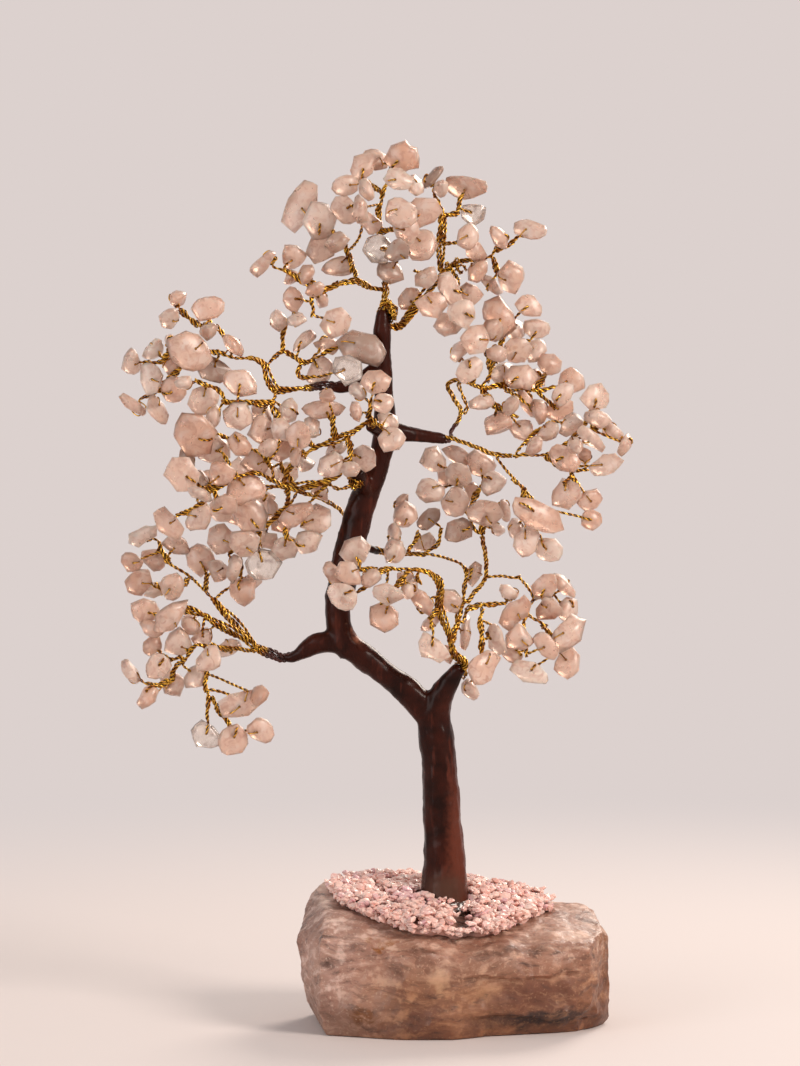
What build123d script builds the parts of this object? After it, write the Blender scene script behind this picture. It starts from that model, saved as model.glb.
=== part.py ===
# Gemstone tree ornament: rose quartz chips on twisted brass wires, a clay covered trunk and a raw
# stone base. The origin is under the trunk's foot on the stone's flat underside, +Z is up and -Y
# faces the viewer.
import math
import os

import numpy as np
from build123d import *

os.makedirs("parts", exist_ok=True)

# Driving dimensions, in millimetres
pixel = 0.29                # width of the tree that one pixel of the front view shows
view_distance = 1400        # from the eye to the trunk
crown_half_depth = 44       # from the trunk to the foremost and rearmost sprays

stone_width = 91
stone_depth = 60
stone_height = 33.8         # where the trunk stands on it
bed_height = 1.6
grain_size = 4.2
grain_spacing = 5.0
collar_radius = 9.6
collar_height = 4.2
collar_taper = 28           # degrees

trunk_foot_radius = 6.7
core_clearance = 0.2        # between the wire core and the clay round it
bundle_radius = 1.5         # all the wires of a stub, twisted together
branch_radius = 1.0
sprig_radius = 0.6
twig_radius = 0.42          # the two strands of one loop, twisted together
chip_bulk = 5.7             # side of a cube with the volume of a typical chip
chip_least_thickness = 3.2
chip_most_thickness = 5.8
seat_gap = 0.12             # between a wire and what it meets
chip_gap = 0.15             # between neighbouring chips
settle_step = 0.5           # by which a chip is moved along the line of sight to find room
station_spacing = 1.2       # between the places on a wire from which a twig may split
twig_least_length = 0.8
twig_longest = 20
overrun = 20                # by which a cutting shape passes what it cuts

# The front view, in its own pixels and degrees
view_centre_pixel = (400, 533)
foot_pixel = (445, 908)
view_tilt = 4


def sight(column, row):
    """How far across and up the line of sight through a pixel goes for each unit of depth."""
    focal = view_distance / pixel
    up = view_centre_pixel[1] - row
    tilt = math.radians(view_tilt)
    ahead = focal * math.cos(tilt) + up * math.sin(tilt)
    return (column - view_centre_pixel[0]) / ahead, (up * math.cos(tilt) - focal * math.sin(tilt)) / ahead


def seen(column, row, depth):
    """The point that the front view shows at a pixel, at a depth behind the trunk."""
    foot_across, foot_up = sight(*foot_pixel)
    across, up = sight(column, row)
    run = view_distance + depth
    x = across * run - foot_across * view_distance
    z = up * run - foot_up * view_distance + stone_height
    return np.array([x, depth, z])


def unit(vector):
    return vector / np.linalg.norm(vector)


# Stone: a broken block of raw rose quartz, its top sloping to the front and to the right
top_fall_right_share = 0.0785
top_fall_front_share = 0.148
stone_top = Plane(
    origin=(0, 0, stone_height),
    x_dir=(1, 0, -top_fall_right_share),
    z_dir=(top_fall_right_share, -top_fall_front_share, 1),
)
# Corners of its plan, as shares of its width and depth from the trunk
stone_plan_shares = [
    (-0.40, -0.43), (-0.12, -0.52), (0.24, -0.50), (0.46, -0.38), (0.53, -0.02),
    (0.46, 0.30), (0.12, 0.48), (-0.30, 0.44), (-0.455, 0.20), (-0.467, -0.15),
]
# Broken faces: a point of each as shares of width, depth and height, and the way that it faces
stone_facet_shares = [
    ((-0.45, 0.00, 0.30), (-1.00, -0.10, -0.37)),
    ((-0.44, 0.05, 0.98), (-1.00, -0.25, 0.75)),
    ((0.51, 0.00, 0.86), (1.00, 0.00, 0.45)),
    ((0.27, -0.50, 0.70), (0.06, -0.42, 1.00)),
    ((0.10, -0.52, 0.66), (0.16, -1.00, 0.22)),
    ((0.28, -0.50, 0.24), (0.25, -0.80, -0.60)),
    ((0.50, -0.20, 0.16), (1.00, -0.50, -0.62)),
    ((-0.20, -0.50, 0.16), (-0.35, -1.00, -0.30)),
    ((0.10, 0.47, 0.92), (0.10, 0.80, 0.55)),
    ((-0.25, 0.44, 0.55), (-0.25, 1.00, 0.16)),
    ((0.30, 0.40, 0.18), (0.35, 0.90, -0.40)),
]


def make_stone():
    outline = [(x * stone_width, y * stone_depth) for x, y in stone_plan_shares]
    with BuildPart() as stone:
        with BuildSketch(Plane.XY):
            Polygon(*outline, align=None)
        extrude(amount=stone_height + overrun)
        split(bisect_by=stone_top, keep=Keep.BOTTOM)
        for (x, y, z), outward in stone_facet_shares:
            place = (x * stone_width, y * stone_depth, z * stone_height)
            split(bisect_by=Plane(origin=place, z_dir=outward), keep=Keep.BOTTOM)
    return stone.part


# Limbs of the trunk: column, row, depth and radius along each, the last two as shares of the
# crown's half depth and of the radius at the foot
column_limb_shares = [
    (445, 935, 0, 1.12), (445, 893, 0, 1.06), (445, 875, 0, 0.98), (444, 840, 0, 0.88),
    (441, 790, 0, 0.82), (437, 745, 0, 0.76), (434, 718, 0, 0.74), (440, 697, -0.03, 0.60),
    (450, 680, -0.06, 0.42), (461, 667, -0.09, 0.27),
]
left_limb_shares = [
    (436, 738, 0, 0.60), (423, 708, 0, 0.64), (400, 685, 0, 0.60), (372, 663, 0, 0.56),
    (348, 647, 0, 0.54), (328, 642, 0, 0.49), (308, 648, 0, 0.42), (283, 657, 0, 0.20),
]
leader_limb_shares = [
    (350, 656, 0, 0.48), (340, 630, 0, 0.58), (338, 605, 0, 0.58), (345, 570, 0, 0.64),
    (354, 530, 0, 0.66), (364, 498, 0, 0.62), (378, 462, 0, 0.53), (384, 432, 0, 0.50),
    (384, 395, 0, 0.43), (382, 350, 0, 0.41), (382, 322, 0, 0.36), (382, 309, 0, 0.22),
]
upper_left_stub_shares = [
    (384, 360, 0, 0.28), (370, 372, -0.01, 0.29), (350, 385, -0.03, 0.28), (329, 386, -0.05, 0.21),
]
middle_right_stub_shares = [
    (382, 422, 0, 0.34), (400, 432, 0.01, 0.35), (425, 436, 0.03, 0.30), (446, 440, 0.04, 0.24),
]
knob_stub_shares = [
    (368, 496, 0, 0.38), (362, 482, -0.12, 0.39), (357, 470, -0.22, 0.34),
]
front_stub_shares = [
    (383, 430, 0, 0.34), (377, 427, -0.14, 0.36), (371, 425, -0.28, 0.28),
]
back_stub_shares = [
    (352, 541, 0.02, 0.22), (368, 548, 0.14, 0.20), (379, 552, 0.24, 0.15),
]
limb_tables = [
    column_limb_shares, left_limb_shares, leader_limb_shares, upper_left_stub_shares,
    middle_right_stub_shares, knob_stub_shares, front_stub_shares, back_stub_shares,
]
limb_sides = 12             # flats that the maker's fingers leave along the clay
core_radius_share = 0.42    # of the limb's radius
core_sides = 5
steep_share = 0.7           # of a limb's run, from which it counts as going to the front or back


def limb_stations(table):
    """Place, direction and radius at each station of a limb."""
    places = [seen(column, row, depth * crown_half_depth) for column, row, depth, _ in table]
    stations = []
    for i, place in enumerate(places):
        ahead = places[min(i + 1, len(places) - 1)] - places[max(i - 1, 0)]
        stations.append((place, unit(ahead), table[i][3] * trunk_foot_radius))
    return stations


def across_plane(place, direction):
    """Plane across a limb, turned the same way all along it."""
    level = np.array([0.0, 1.0, 0.0])
    if abs(direction[1]) > steep_share:
        level = np.array([1.0, 0.0, 0.0])
    x_dir = level - direction * level.dot(direction)
    return Plane(origin=tuple(place), x_dir=tuple(x_dir), z_dir=tuple(direction))


def make_limb(table):
    with BuildPart() as limb:
        for place, direction, radius in limb_stations(table):
            with BuildSketch(across_plane(place, direction)):
                RegularPolygon(radius, limb_sides)
        loft()
    return limb.part


def make_core_limb(table, clearance):
    """The wire bundle inside a limb, stopping short of its tip, or the space that it lies in."""
    with BuildPart() as limb:
        for place, direction, radius in limb_stations(table)[:-1]:
            with BuildSketch(across_plane(place, direction)):
                RegularPolygon(radius * core_radius_share + clearance, core_sides)
        loft(ruled=True)
    return limb.part


def make_core(clearance):
    with BuildPart() as core:
        for table in limb_tables:
            add(make_core_limb(table, clearance))
        split(bisect_by=stone_top, keep=Keep.TOP)
    return core.part


def make_trunk():
    with BuildPart() as trunk:
        for table in limb_tables:
            add(make_limb(table))
        split(bisect_by=stone_top, keep=Keep.TOP)
        add(make_core(core_clearance), mode=Mode.SUBTRACT)
    return trunk.part


# Glue collar at the foot, and the resin bed with its gravel round the collar
bed_plan_shares = [
    (-0.375, 0.20), (-0.33, -0.08), (-0.22, -0.28), (-0.11, -0.41), (0.05, -0.43),
    (0.17, -0.33), (0.26, -0.10), (0.33, 0.10), (0.33, 0.24), (0.24, 0.34), (0.08, 0.39),
    (-0.10, 0.40), (-0.24, 0.37), (-0.34, 0.30),
]
grain_outline_shares = [(1.0, 0.1), (0.2, 0.9), (-0.8, 0.6), (-0.9, -0.5), (0.3, -0.9)]
grain_face_share = 0.55
grain_spread_share = 0.12


def make_collar():
    with BuildPart() as collar:
        with BuildSketch(stone_top):
            Circle(collar_radius)
        extrude(amount=collar_height, taper=collar_taper)
        add(make_limb(column_limb_shares), mode=Mode.SUBTRACT)
    return collar.part


def make_bed():
    outline = [(x * stone_width, y * stone_depth) for x, y in bed_plan_shares]
    with BuildPart() as bed:
        with BuildSketch(stone_top):
            Polygon(*outline, align=None)
            Circle(collar_radius + seat_gap, mode=Mode.SUBTRACT)
        extrude(amount=bed_height)
    return bed.part


def inside(x, y, outline):
    """True if a point lies in an outline whose corners run anticlockwise."""
    around = zip(outline, outline[1:] + outline[:1])
    return all((bx - ax) * (y - ay) - (by - ay) * (x - ax) > 0 for (ax, ay), (bx, by) in around)


def make_flake(broad, narrow):
    """A solid with flat faces between two outlines of as many corners."""
    corners = len(broad)
    rings = [broad, narrow]
    rings += [[broad[i - 1], broad[i], narrow[i], narrow[i - 1]] for i in range(corners)]
    return Solid(Shell([Face(Wire.make_polygon([tuple(point) for point in ring])) for ring in rings]))


def make_grain(x, y, turn, size):
    plane = stone_top.offset(bed_height + seat_gap)
    cosine, sine = math.cos(turn) * size / 2, math.sin(turn) * size / 2
    low = [(px * cosine - py * sine, px * sine + py * cosine) for px, py in grain_outline_shares]
    broad = [plane.from_local_coords((x + px, y + py, 0)) for px, py in low]
    high = [(px * grain_face_share, py * grain_face_share) for px, py in low]
    narrow = [plane.from_local_coords((x + px, y + py, size * grain_face_share)) for px, py in high]
    return make_flake(broad, narrow)


def make_gravel():
    """Grains along a spiral from the collar out to the edge of the bed."""
    edge = [(x * stone_width, y * stone_depth) for x, y in reversed(bed_plan_shares)]
    if not inside(0, 0, edge):
        edge.reverse()
    golden_turn = math.pi * (3 - math.sqrt(5))
    grains = []
    count = round(stone_width * stone_depth / grain_spacing ** 2)
    for i in range(count):
        distance = grain_spacing * math.sqrt(i / math.pi)
        angle = i * golden_turn
        x, y = distance * math.cos(angle), distance * math.sin(angle)
        size = grain_size * (1 + grain_spread_share * math.sin(i))
        if distance > collar_radius + size / 2 and inside(x, y, edge):
            grains.append(make_grain(x, y, i, size))
    return grains

# Wires of the sprays: the radius of each, and its column, row and depth at each bend, the depth as
# a share of the crown's half depth. A wire that starts at a stub's tip comes out of it, and any
# other starts beside the wire that it splits from.
crown_centre_wire_shares = [
    (bundle_radius, [(382, 309, 0), (385, 297, 0), (385, 284, 0)]),
    (branch_radius, [(385, 284, 0), (384, 260, -0.04), (379, 232, -0.06), (380, 205, -0.08)]),
    (sprig_radius, [(380, 206, -0.08), (386, 186, -0.05), (391, 172, -0.02), (396, 161, 0.0)]),
    (sprig_radius, [(380, 232, -0.06), (392, 230, -0.12), (408, 222, -0.16)]),
    (sprig_radius, [(383, 195, -0.06), (373, 187, -0.10), (362, 180, -0.12)]),
    (sprig_radius, [(383, 252, -0.05), (396, 258, -0.10), (410, 252, -0.14)]),
    (sprig_radius, [(379, 222, -0.07), (366, 214, -0.04), (352, 205, 0.02)]),
]
crown_left_wire_shares = [
    (branch_radius, [(385, 291, 0), (370, 287, -0.05), (357, 280, -0.10), (341, 283, -0.12)]),
    (sprig_radius, [(341, 283, -0.12), (329, 287, -0.12), (305, 282, -0.12), (283, 270, -0.12)]),
    (sprig_radius, [(329, 287, -0.12), (313, 297, -0.16), (313, 310, -0.18), (308, 328, -0.18)]),
    (sprig_radius, [(357, 280, -0.10), (351, 266, -0.06), (347, 249, 0), (335, 233, 0.05),
                    (321, 228, 0.06)]),
    (sprig_radius, [(348, 252, 0), (359, 238, 0.08), (363, 222, 0.12)]),
]
crown_right_wire_shares = [
    (branch_radius, [(384, 324, 0.05), (398, 327, 0.08), (411, 313, 0.10), (428, 292, 0.10),
                     (441, 278, 0.12), (455, 263, 0.15)]),
    (sprig_radius, [(441, 278, 0.12), (441, 258, 0.12), (440, 240, 0.12), (441, 215, 0.10),
                    (434, 196, 0.10)]),
    (sprig_radius, [(441, 217, 0.10), (456, 213, 0.15), (459, 199, 0.15), (466, 190, 0.15)]),
    (sprig_radius, [(440, 242, 0.12), (462, 243, 0.06), (474, 238, 0.02)]),
    (sprig_radius, [(455, 263, 0.15), (470, 261, 0.18), (491, 256, 0.20), (497, 246, 0.20)]),
    (sprig_radius, [(491, 256, 0.20), (497, 270, 0.22), (503, 283, 0.22)]),
    (sprig_radius, [(493, 255, 0.20), (508, 244, 0.16), (520, 235, 0.14)]),
    (sprig_radius, [(440, 278, 0.12), (421, 274, 0.05), (403, 264, 0.0)]),
    (sprig_radius, [(452, 266, 0.14), (458, 288, 0.10), (461, 312, 0.08)]),
]
upper_left_outer_wire_shares = [
    (bundle_radius, [(329, 386, -0.05), (318, 388, -0.08), (304, 388, -0.12)]),
    (branch_radius, [(304, 388, -0.12), (289, 389, -0.16), (275, 389, -0.18), (267, 378, -0.20),
                     (262, 364, -0.20), (250, 358, -0.20)]),
    (sprig_radius, [(250, 358, -0.20), (235, 358, -0.20), (215, 352, -0.22), (193, 346, -0.22)]),
    (sprig_radius, [(233, 358, -0.20), (224, 334, -0.14), (213, 321, -0.12), (206, 308, -0.10)]),
    (sprig_radius, [(222, 331, -0.14), (200, 326, -0.10), (180, 310, -0.08)]),
    (sprig_radius, [(193, 346, -0.22), (174, 350, -0.18), (160, 361, -0.16), (143, 364, -0.16)]),
    (sprig_radius, [(196, 347, -0.22), (180, 368, -0.12), (160, 388, -0.10), (142, 398, -0.10)]),
]
upper_left_inner_wire_shares = [
    (sprig_radius, [(264, 370, -0.20), (281, 352, -0.08), (302, 362, -0.04), (320, 356, 0.0),
                    (338, 347, 0.0)]),
    (sprig_radius, [(281, 352, -0.08), (283, 338, -0.10), (288, 321, -0.12)]),
    (sprig_radius, [(302, 362, -0.04), (300, 375, -0.12), (318, 377, -0.16)]),
]
upper_left_lower_wire_shares = [
    (sprig_radius, [(276, 389, -0.18), (272, 403, -0.28), (250, 404, -0.34), (224, 401, -0.36)]),
    (sprig_radius, [(272, 403, -0.28), (277, 416, -0.30), (272, 428, -0.30)]),
    (sprig_radius, [(228, 402, -0.36), (214, 388, -0.34), (192, 378, -0.30)]),
]
front_cluster_wire_shares = [
    (branch_radius, [(371, 425, -0.28), (370, 424, -0.36), (369, 414, -0.42)]),
    (sprig_radius, [(369, 414, -0.42), (370, 407, -0.43), (371, 400, -0.44)]),
    (sprig_radius, [(370, 419, -0.40), (380, 426, -0.46), (390, 432, -0.48)]),
]
front_left_wire_shares = [
    (sprig_radius, [(369, 420, -0.39), (352, 431, -0.40), (335, 440, -0.40), (316, 446, -0.38),
                    (305, 457, -0.34), (304, 472, -0.30)]),
    (sprig_radius, [(335, 440, -0.40), (334, 428, -0.42), (333, 415, -0.42)]),
    (sprig_radius, [(345, 435, -0.40), (350, 445, -0.44), (351, 455, -0.47)]),
    (sprig_radius, [(316, 446, -0.38), (304, 440, -0.36), (290, 436, -0.34)]),
]
mid_left_upper_wire_shares = [
    (bundle_radius, [(357, 470, -0.22), (354, 464, -0.31), (345, 467, -0.36), (336, 476, -0.34),
                     (325, 481, -0.30)]),
    (branch_radius, [(325, 481, -0.30), (313, 484, -0.26), (298, 488, -0.25), (282, 485, -0.26)]),
    (sprig_radius, [(282, 485, -0.26), (262, 475, -0.32), (238, 476, -0.38), (210, 489, -0.38),
                    (190, 480, -0.36)]),
    (sprig_radius, [(238, 476, -0.38), (228, 465, -0.42), (222, 452, -0.44)]),
    (sprig_radius, [(276, 482, -0.28), (266, 458, -0.34), (245, 446, -0.38), (220, 434, -0.40)]),
    (sprig_radius, [(212, 488, -0.38), (205, 502, -0.34), (188, 510, -0.30), (174, 516, -0.28)]),
    (sprig_radius, [(212, 488, -0.38), (216, 500, -0.40), (222, 510, -0.40)]),
    (sprig_radius, [(284, 485, -0.26), (291, 465, -0.20), (302, 448, -0.16)]),
    (sprig_radius, [(268, 462, -0.33), (278, 448, -0.26), (280, 434, -0.20)]),
]
mid_left_lower_wire_shares = [
    (sprig_radius, [(288, 487, -0.26), (284, 508, -0.12), (262, 527, -0.06), (243, 545, 0.0),
                    (228, 552, 0.02)]),
    (sprig_radius, [(262, 528, -0.06), (257, 545, 0.04), (256, 562, 0.08)]),
    (sprig_radius, [(242, 546, 0.0), (240, 562, 0.08), (240, 577, 0.10)]),
    (sprig_radius, [(284, 509, -0.12), (286, 525, -0.08), (286, 539, -0.06)]),
    (sprig_radius, [(326, 482, -0.27), (314, 498, -0.14), (303, 510, -0.08), (302, 527, -0.04)]),
]
back_left_wire_shares = [
    (branch_radius, [(350, 522, 0.06), (338, 508, 0.26), (318, 497, 0.42), (296, 491, 0.48)]),
    (sprig_radius, [(296, 491, 0.48), (272, 486, 0.52), (248, 488, 0.52), (226, 482, 0.50)]),
    (sprig_radius, [(298, 491, 0.48), (286, 510, 0.48), (268, 524, 0.46), (250, 530, 0.44)]),
    (sprig_radius, [(296, 491, 0.48), (284, 470, 0.46), (276, 448, 0.42)]),
    (sprig_radius, [(250, 488, 0.52), (238, 502, 0.58), (222, 512, 0.60)]),
]
lower_left_upper_wire_shares = [
    (bundle_radius, [(283, 657, 0), (271, 654, -0.01), (258, 648, -0.02)]),
    (branch_radius, [(258, 648, -0.02), (246, 636, 0.02), (230, 618, 0.06), (212, 598, 0.10)]),
    (sprig_radius, [(212, 598, 0.10), (201, 587, 0.12), (188, 575, 0.12), (165, 561, 0.12)]),
    (sprig_radius, [(209, 596, 0.10), (205, 585, 0.08), (206, 572, 0.06)]),
    (sprig_radius, [(214, 600, 0.10), (224, 591, 0.14), (236, 584, 0.18)]),
    (sprig_radius, [(190, 577, 0.12), (182, 586, 0.06), (164, 590, 0.02)]),
    (sprig_radius, [(172, 565, 0.12), (164, 555, 0.18), (160, 542, 0.22)]),
]
lower_left_outer_wire_shares = [
    (branch_radius, [(254, 645, -0.01), (238, 636, -0.06), (220, 625, -0.10), (205, 615, -0.12)]),
    (sprig_radius, [(205, 615, -0.12), (190, 610, -0.14), (172, 611, -0.16), (158, 616, -0.16)]),
    (branch_radius, [(254, 651, -0.03), (240, 649, -0.10), (225, 648, -0.16), (209, 646, -0.20)]),
    (sprig_radius, [(209, 646, -0.20), (197, 645, -0.22), (188, 656, -0.20), (176, 668, -0.16),
                    (170, 682, -0.14)]),
    (sprig_radius, [(188, 657, -0.20), (172, 659, -0.16), (158, 656, -0.12)]),
    (sprig_radius, [(172, 677, -0.15), (158, 684, -0.14), (146, 684, -0.12)]),
    (sprig_radius, [(205, 616, -0.12), (203, 628, -0.18), (203, 637, -0.26)]),
]
lower_left_hanging_wire_shares = [
    (sprig_radius, [(211, 646, -0.20), (207, 666, -0.20), (205, 681, -0.20), (208, 692, -0.20)]),
    (sprig_radius, [(208, 692, -0.20), (207, 706, -0.20), (208, 721, -0.20)]),
    (sprig_radius, [(207, 689, -0.20), (222, 692, -0.22), (234, 697, -0.24)]),
    (sprig_radius, [(208, 693, -0.20), (215, 705, -0.16), (223, 716, -0.14), (231, 730, -0.14)]),
]
upper_right_wire_shares = [
    (branch_radius, [(446, 440, 0.04), (451, 432, 0.07), (461, 413, 0.10), (453, 397, 0.12),
                     (448, 384, 0.13), (460, 380, 0.16), (481, 388, 0.20)]),
    (sprig_radius, [(481, 388, 0.20), (490, 373, 0.22), (487, 352, 0.22), (478, 340, 0.20)]),
    (sprig_radius, [(489, 370, 0.22), (500, 352, 0.28), (503, 331, 0.30)]),
    (sprig_radius, [(497, 358, 0.27), (513, 350, 0.32), (530, 341, 0.34)]),
    (sprig_radius, [(477, 386, 0.19), (470, 376, 0.14), (464, 362, 0.12)]),
]
upper_right_outer_wire_shares = [
    (sprig_radius, [(483, 389, 0.20), (498, 384, 0.28), (516, 388, 0.34), (538, 390, 0.40),
                    (556, 387, 0.42)]),
    (sprig_radius, [(482, 390, 0.20), (492, 402, 0.16), (505, 412, 0.16), (520, 418, 0.18)]),
    (sprig_radius, [(538, 390, 0.40), (548, 402, 0.36), (556, 410, 0.34)]),
    (sprig_radius, [(536, 390, 0.40), (544, 378, 0.46), (552, 368, 0.48)]),
    (sprig_radius, [(502, 385, 0.29), (512, 394, 0.24), (524, 402, 0.22)]),
]
right_outer_wire_shares = [
    (branch_radius, [(449, 437, 0.05), (462, 442, 0.03), (476, 447, 0.02), (494, 454, 0.02),
                     (512, 456, 0.02)]),
    (sprig_radius, [(512, 456, 0.02), (526, 455, 0.02), (542, 455, 0.02), (562, 448, 0.0),
                    (580, 433, 0.0), (598, 427, 0.0)]),
    (sprig_radius, [(514, 456, 0.02), (527, 440, 0.10), (538, 432, 0.14), (550, 421, 0.16)]),
    (sprig_radius, [(544, 455, 0.02), (558, 465, -0.06), (578, 470, -0.06), (590, 470, -0.05)]),
    (sprig_radius, [(582, 432, 0.0), (588, 420, 0.06), (592, 409, 0.08)]),
]
right_drop_wire_shares = [
    (sprig_radius, [(494, 454, 0.02), (508, 472, -0.08), (523, 489, -0.16), (524, 502, -0.18),
                    (525, 513, -0.18)]),
    (sprig_radius, [(523, 489, -0.16), (531, 497, -0.20), (538, 507, -0.22)]),
    (sprig_radius, [(568, 467, -0.06), (574, 477, -0.10), (580, 487, -0.12)]),
    (sprig_radius, [(574, 477, -0.10), (564, 482, -0.16), (560, 488, -0.20)]),
]
centre_low_wire_shares = [
    (bundle_radius, [(461, 667, -0.09), (456, 656, -0.12), (451, 645, -0.14)]),
    (branch_radius, [(451, 645, -0.14), (446, 629, -0.18), (439, 608, -0.22), (441, 588, -0.26),
                     (431, 573, -0.32),
                     (412, 569, -0.38)]),
    (sprig_radius, [(412, 569, -0.38), (398, 569, -0.42), (384, 570, -0.46), (362, 570, -0.50)]),
    (sprig_radius, [(410, 569, -0.39), (402, 580, -0.44), (393, 590, -0.46)]),
    (sprig_radius, [(386, 570, -0.46), (372, 580, -0.50), (356, 593, -0.50)]),
    (sprig_radius, [(416, 570, -0.37), (419, 580, -0.32), (424, 589, -0.30)]),
    (sprig_radius, [(388, 570, -0.45), (386, 588, -0.36), (381, 605, -0.32)]),
]
lower_right_inner_wire_shares = [
    (branch_radius, [(452, 648, -0.14), (455, 634, -0.08), (459, 618, -0.02), (463, 600, 0.02)]),
    (sprig_radius, [(463, 600, 0.02), (466, 582, 0.06), (463, 566, 0.12), (446, 558, 0.22),
                    (428, 554, 0.28)]),
    (sprig_radius, [(439, 608, -0.22), (431, 618, -0.26), (433, 630, -0.26)]),
    (sprig_radius, [(466, 584, 0.05), (470, 578, 0.10), (472, 568, 0.14)]),
    (sprig_radius, [(457, 626, -0.05), (463, 622, 0.0), (466, 612, 0.02)]),
]
centre_right_wire_shares = [
    (branch_radius, [(460, 611, 0.0), (475, 592, 0.06), (485, 579, 0.10), (486, 560, 0.16),
                     (482, 536, 0.22)]),
    (sprig_radius, [(482, 536, 0.22), (483, 522, 0.26), (488, 510, 0.28)]),
    (sprig_radius, [(482, 537, 0.22), (474, 527, 0.26), (466, 510, 0.32), (460, 492, 0.36),
                    (456, 472, 0.38)]),
    (sprig_radius, [(467, 512, 0.32), (474, 498, 0.28), (483, 484, 0.26)]),
    (sprig_radius, [(462, 498, 0.35), (450, 496, 0.32), (438, 490, 0.30)]),
]
back_centre_wire_shares = [
    (branch_radius, [(379, 552, 0.24), (388, 554, 0.28), (404, 554, 0.32), (425, 554, 0.32)]),
    (sprig_radius, [(425, 554, 0.32), (438, 542, 0.36), (442, 528, 0.38)]),
    (sprig_radius, [(408, 554, 0.32), (414, 542, 0.38), (419, 528, 0.40)]),
    (sprig_radius, [(396, 554, 0.30), (392, 543, 0.36), (396, 528, 0.40)]),
]
lower_right_outer_wire_shares = [
    (branch_radius, [(460, 616, -0.02), (470, 607, 0.0), (482, 604, 0.0)]),
    (sprig_radius, [(482, 604, 0.0), (494, 603, 0.0), (506, 604, 0.0)]),
    (sprig_radius, [(482, 604, 0.0), (481, 618, -0.02), (481, 634, -0.04), (482, 652, -0.06)]),
    (sprig_radius, [(486, 577, 0.10), (502, 576, 0.10), (518, 577, 0.10), (524, 563, 0.04),
                    (526, 550, 0.0)]),
    (sprig_radius, [(519, 577, 0.10), (533, 597, 0.14), (528, 613, 0.14), (540, 622, 0.12),
                    (558, 632, 0.10)]),
    (sprig_radius, [(528, 613, 0.14), (522, 628, 0.10), (524, 646, 0.06), (527, 658, 0.04)]),
    (sprig_radius, [(481, 620, -0.02), (492, 626, 0.04), (503, 640, 0.08)]),
    (sprig_radius, [(541, 623, 0.12), (550, 636, 0.16), (556, 652, 0.16)]),
    (sprig_radius, [(534, 598, 0.14), (543, 597, 0.20), (553, 594, 0.22)]),
]

# Chips of the sprays: column, row, width and height in the front view, tilt in degrees, and depth
# as a share of the crown's half depth
crown_centre_chip_shares = [
    (402, 158, 32, 28, 0, -0.05), (398, 180, 26, 22, 0, -0.20), (415, 187, 18, 14, 0, -0.10),
    (363, 167, 32, 22, 0, -0.05), (376, 162, 24, 18, 20, 0.05), (346, 187, 26, 20, 10, -0.10),
    (368, 190, 22, 20, 0, -0.25), (344, 210, 32, 26, 0, 0.10), (370, 222, 20, 32, 10, -0.20),
    (360, 208, 16, 18, 0, -0.10), (400, 212, 36, 32, 0, -0.30), (406, 231, 26, 28, 0, -0.25),
    (378, 249, 26, 28, 0, -0.20), (397, 250, 24, 22, 0, -0.15), (391, 272, 26, 22, 20, -0.15),
    (422, 212, 28, 38, 10, -0.10), (421, 245, 28, 34, -10, -0.15),
]
crown_left_chip_shares = [
    (264, 262, 32, 16, -25, -0.10), (293, 256, 28, 28, 0, -0.05), (301, 208, 26, 42, -15, 0.10),
    (319, 221, 30, 32, 0, -0.05), (322, 247, 36, 26, 0, 0.05), (338, 268, 30, 16, 25, -0.05),
    (292, 299, 22, 28, 0, -0.20), (306, 274, 17, 17, 0, -0.20), (290, 278, 15, 15, 0, -0.05),
    (316, 290, 18, 18, 0, -0.25), (336, 322, 24, 24, 0, -0.15), (322, 299, 14, 14, 0, -0.05),
    (337, 240, 18, 20, 0, -0.12),
]
crown_right_chip_shares = [
    (433, 177, 28, 12, 10, 0.15), (467, 186, 40, 26, -5, 0.15), (441, 188, 18, 18, 0, 0.00),
    (473, 213, 24, 24, 0, 0.25), (468, 236, 22, 26, 0, 0.00), (474, 250, 18, 22, 0, 0.10),
    (498, 237, 18, 30, 15, 0.10), (530, 230, 40, 20, -25, 0.15), (478, 270, 20, 26, 0, 0.05),
    (493, 287, 15, 22, 0, 0.30), (510, 280, 24, 28, -20, 0.20), (428, 277, 20, 20, 0, 0.00),
    (450, 290, 40, 20, 0, 0.00), (433, 305, 28, 28, 0, 0.00), (470, 296, 26, 22, 0, 0.15),
    (463, 313, 26, 26, 0, -0.05), (448, 325, 24, 24, 0, 0.10), (409, 300, 22, 24, 0, 0.20),
]
upper_left_outer_chip_shares = [
    (176, 299, 20, 18, 0, -0.05), (171, 318, 22, 22, 0, -0.15), (207, 309, 34, 24, -10, -0.15),
    (207, 330, 14, 18, 0, -0.20), (190, 352, 44, 34, 15, -0.30), (170, 364, 20, 24, 0, -0.10),
    (172, 341, 14, 14, 0, -0.20), (213, 370, 36, 22, 5, -0.15), (233, 346, 26, 17, -20, -0.25),
    (154, 350, 22, 18, 0, -0.10), (132, 362, 20, 28, 20, -0.15), (151, 380, 24, 30, -15, -0.10),
    (174, 391, 32, 22, 10, -0.15), (133, 405, 30, 15, -10, -0.10), (158, 411, 11, 32, -30, -0.12),
]
upper_left_inner_chip_shares = [
    (303, 341, 32, 18, 15, -0.05), (360, 347, 44, 28, -12, -0.15), (347, 369, 26, 24, 0, -0.20),
    (320, 372, 30, 24, 0, -0.08), (279, 319, 17, 17, 0, -0.10), (296, 320, 19, 16, 0, -0.20),
    (328, 345, 18, 18, 0, 0.08),
]
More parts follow.
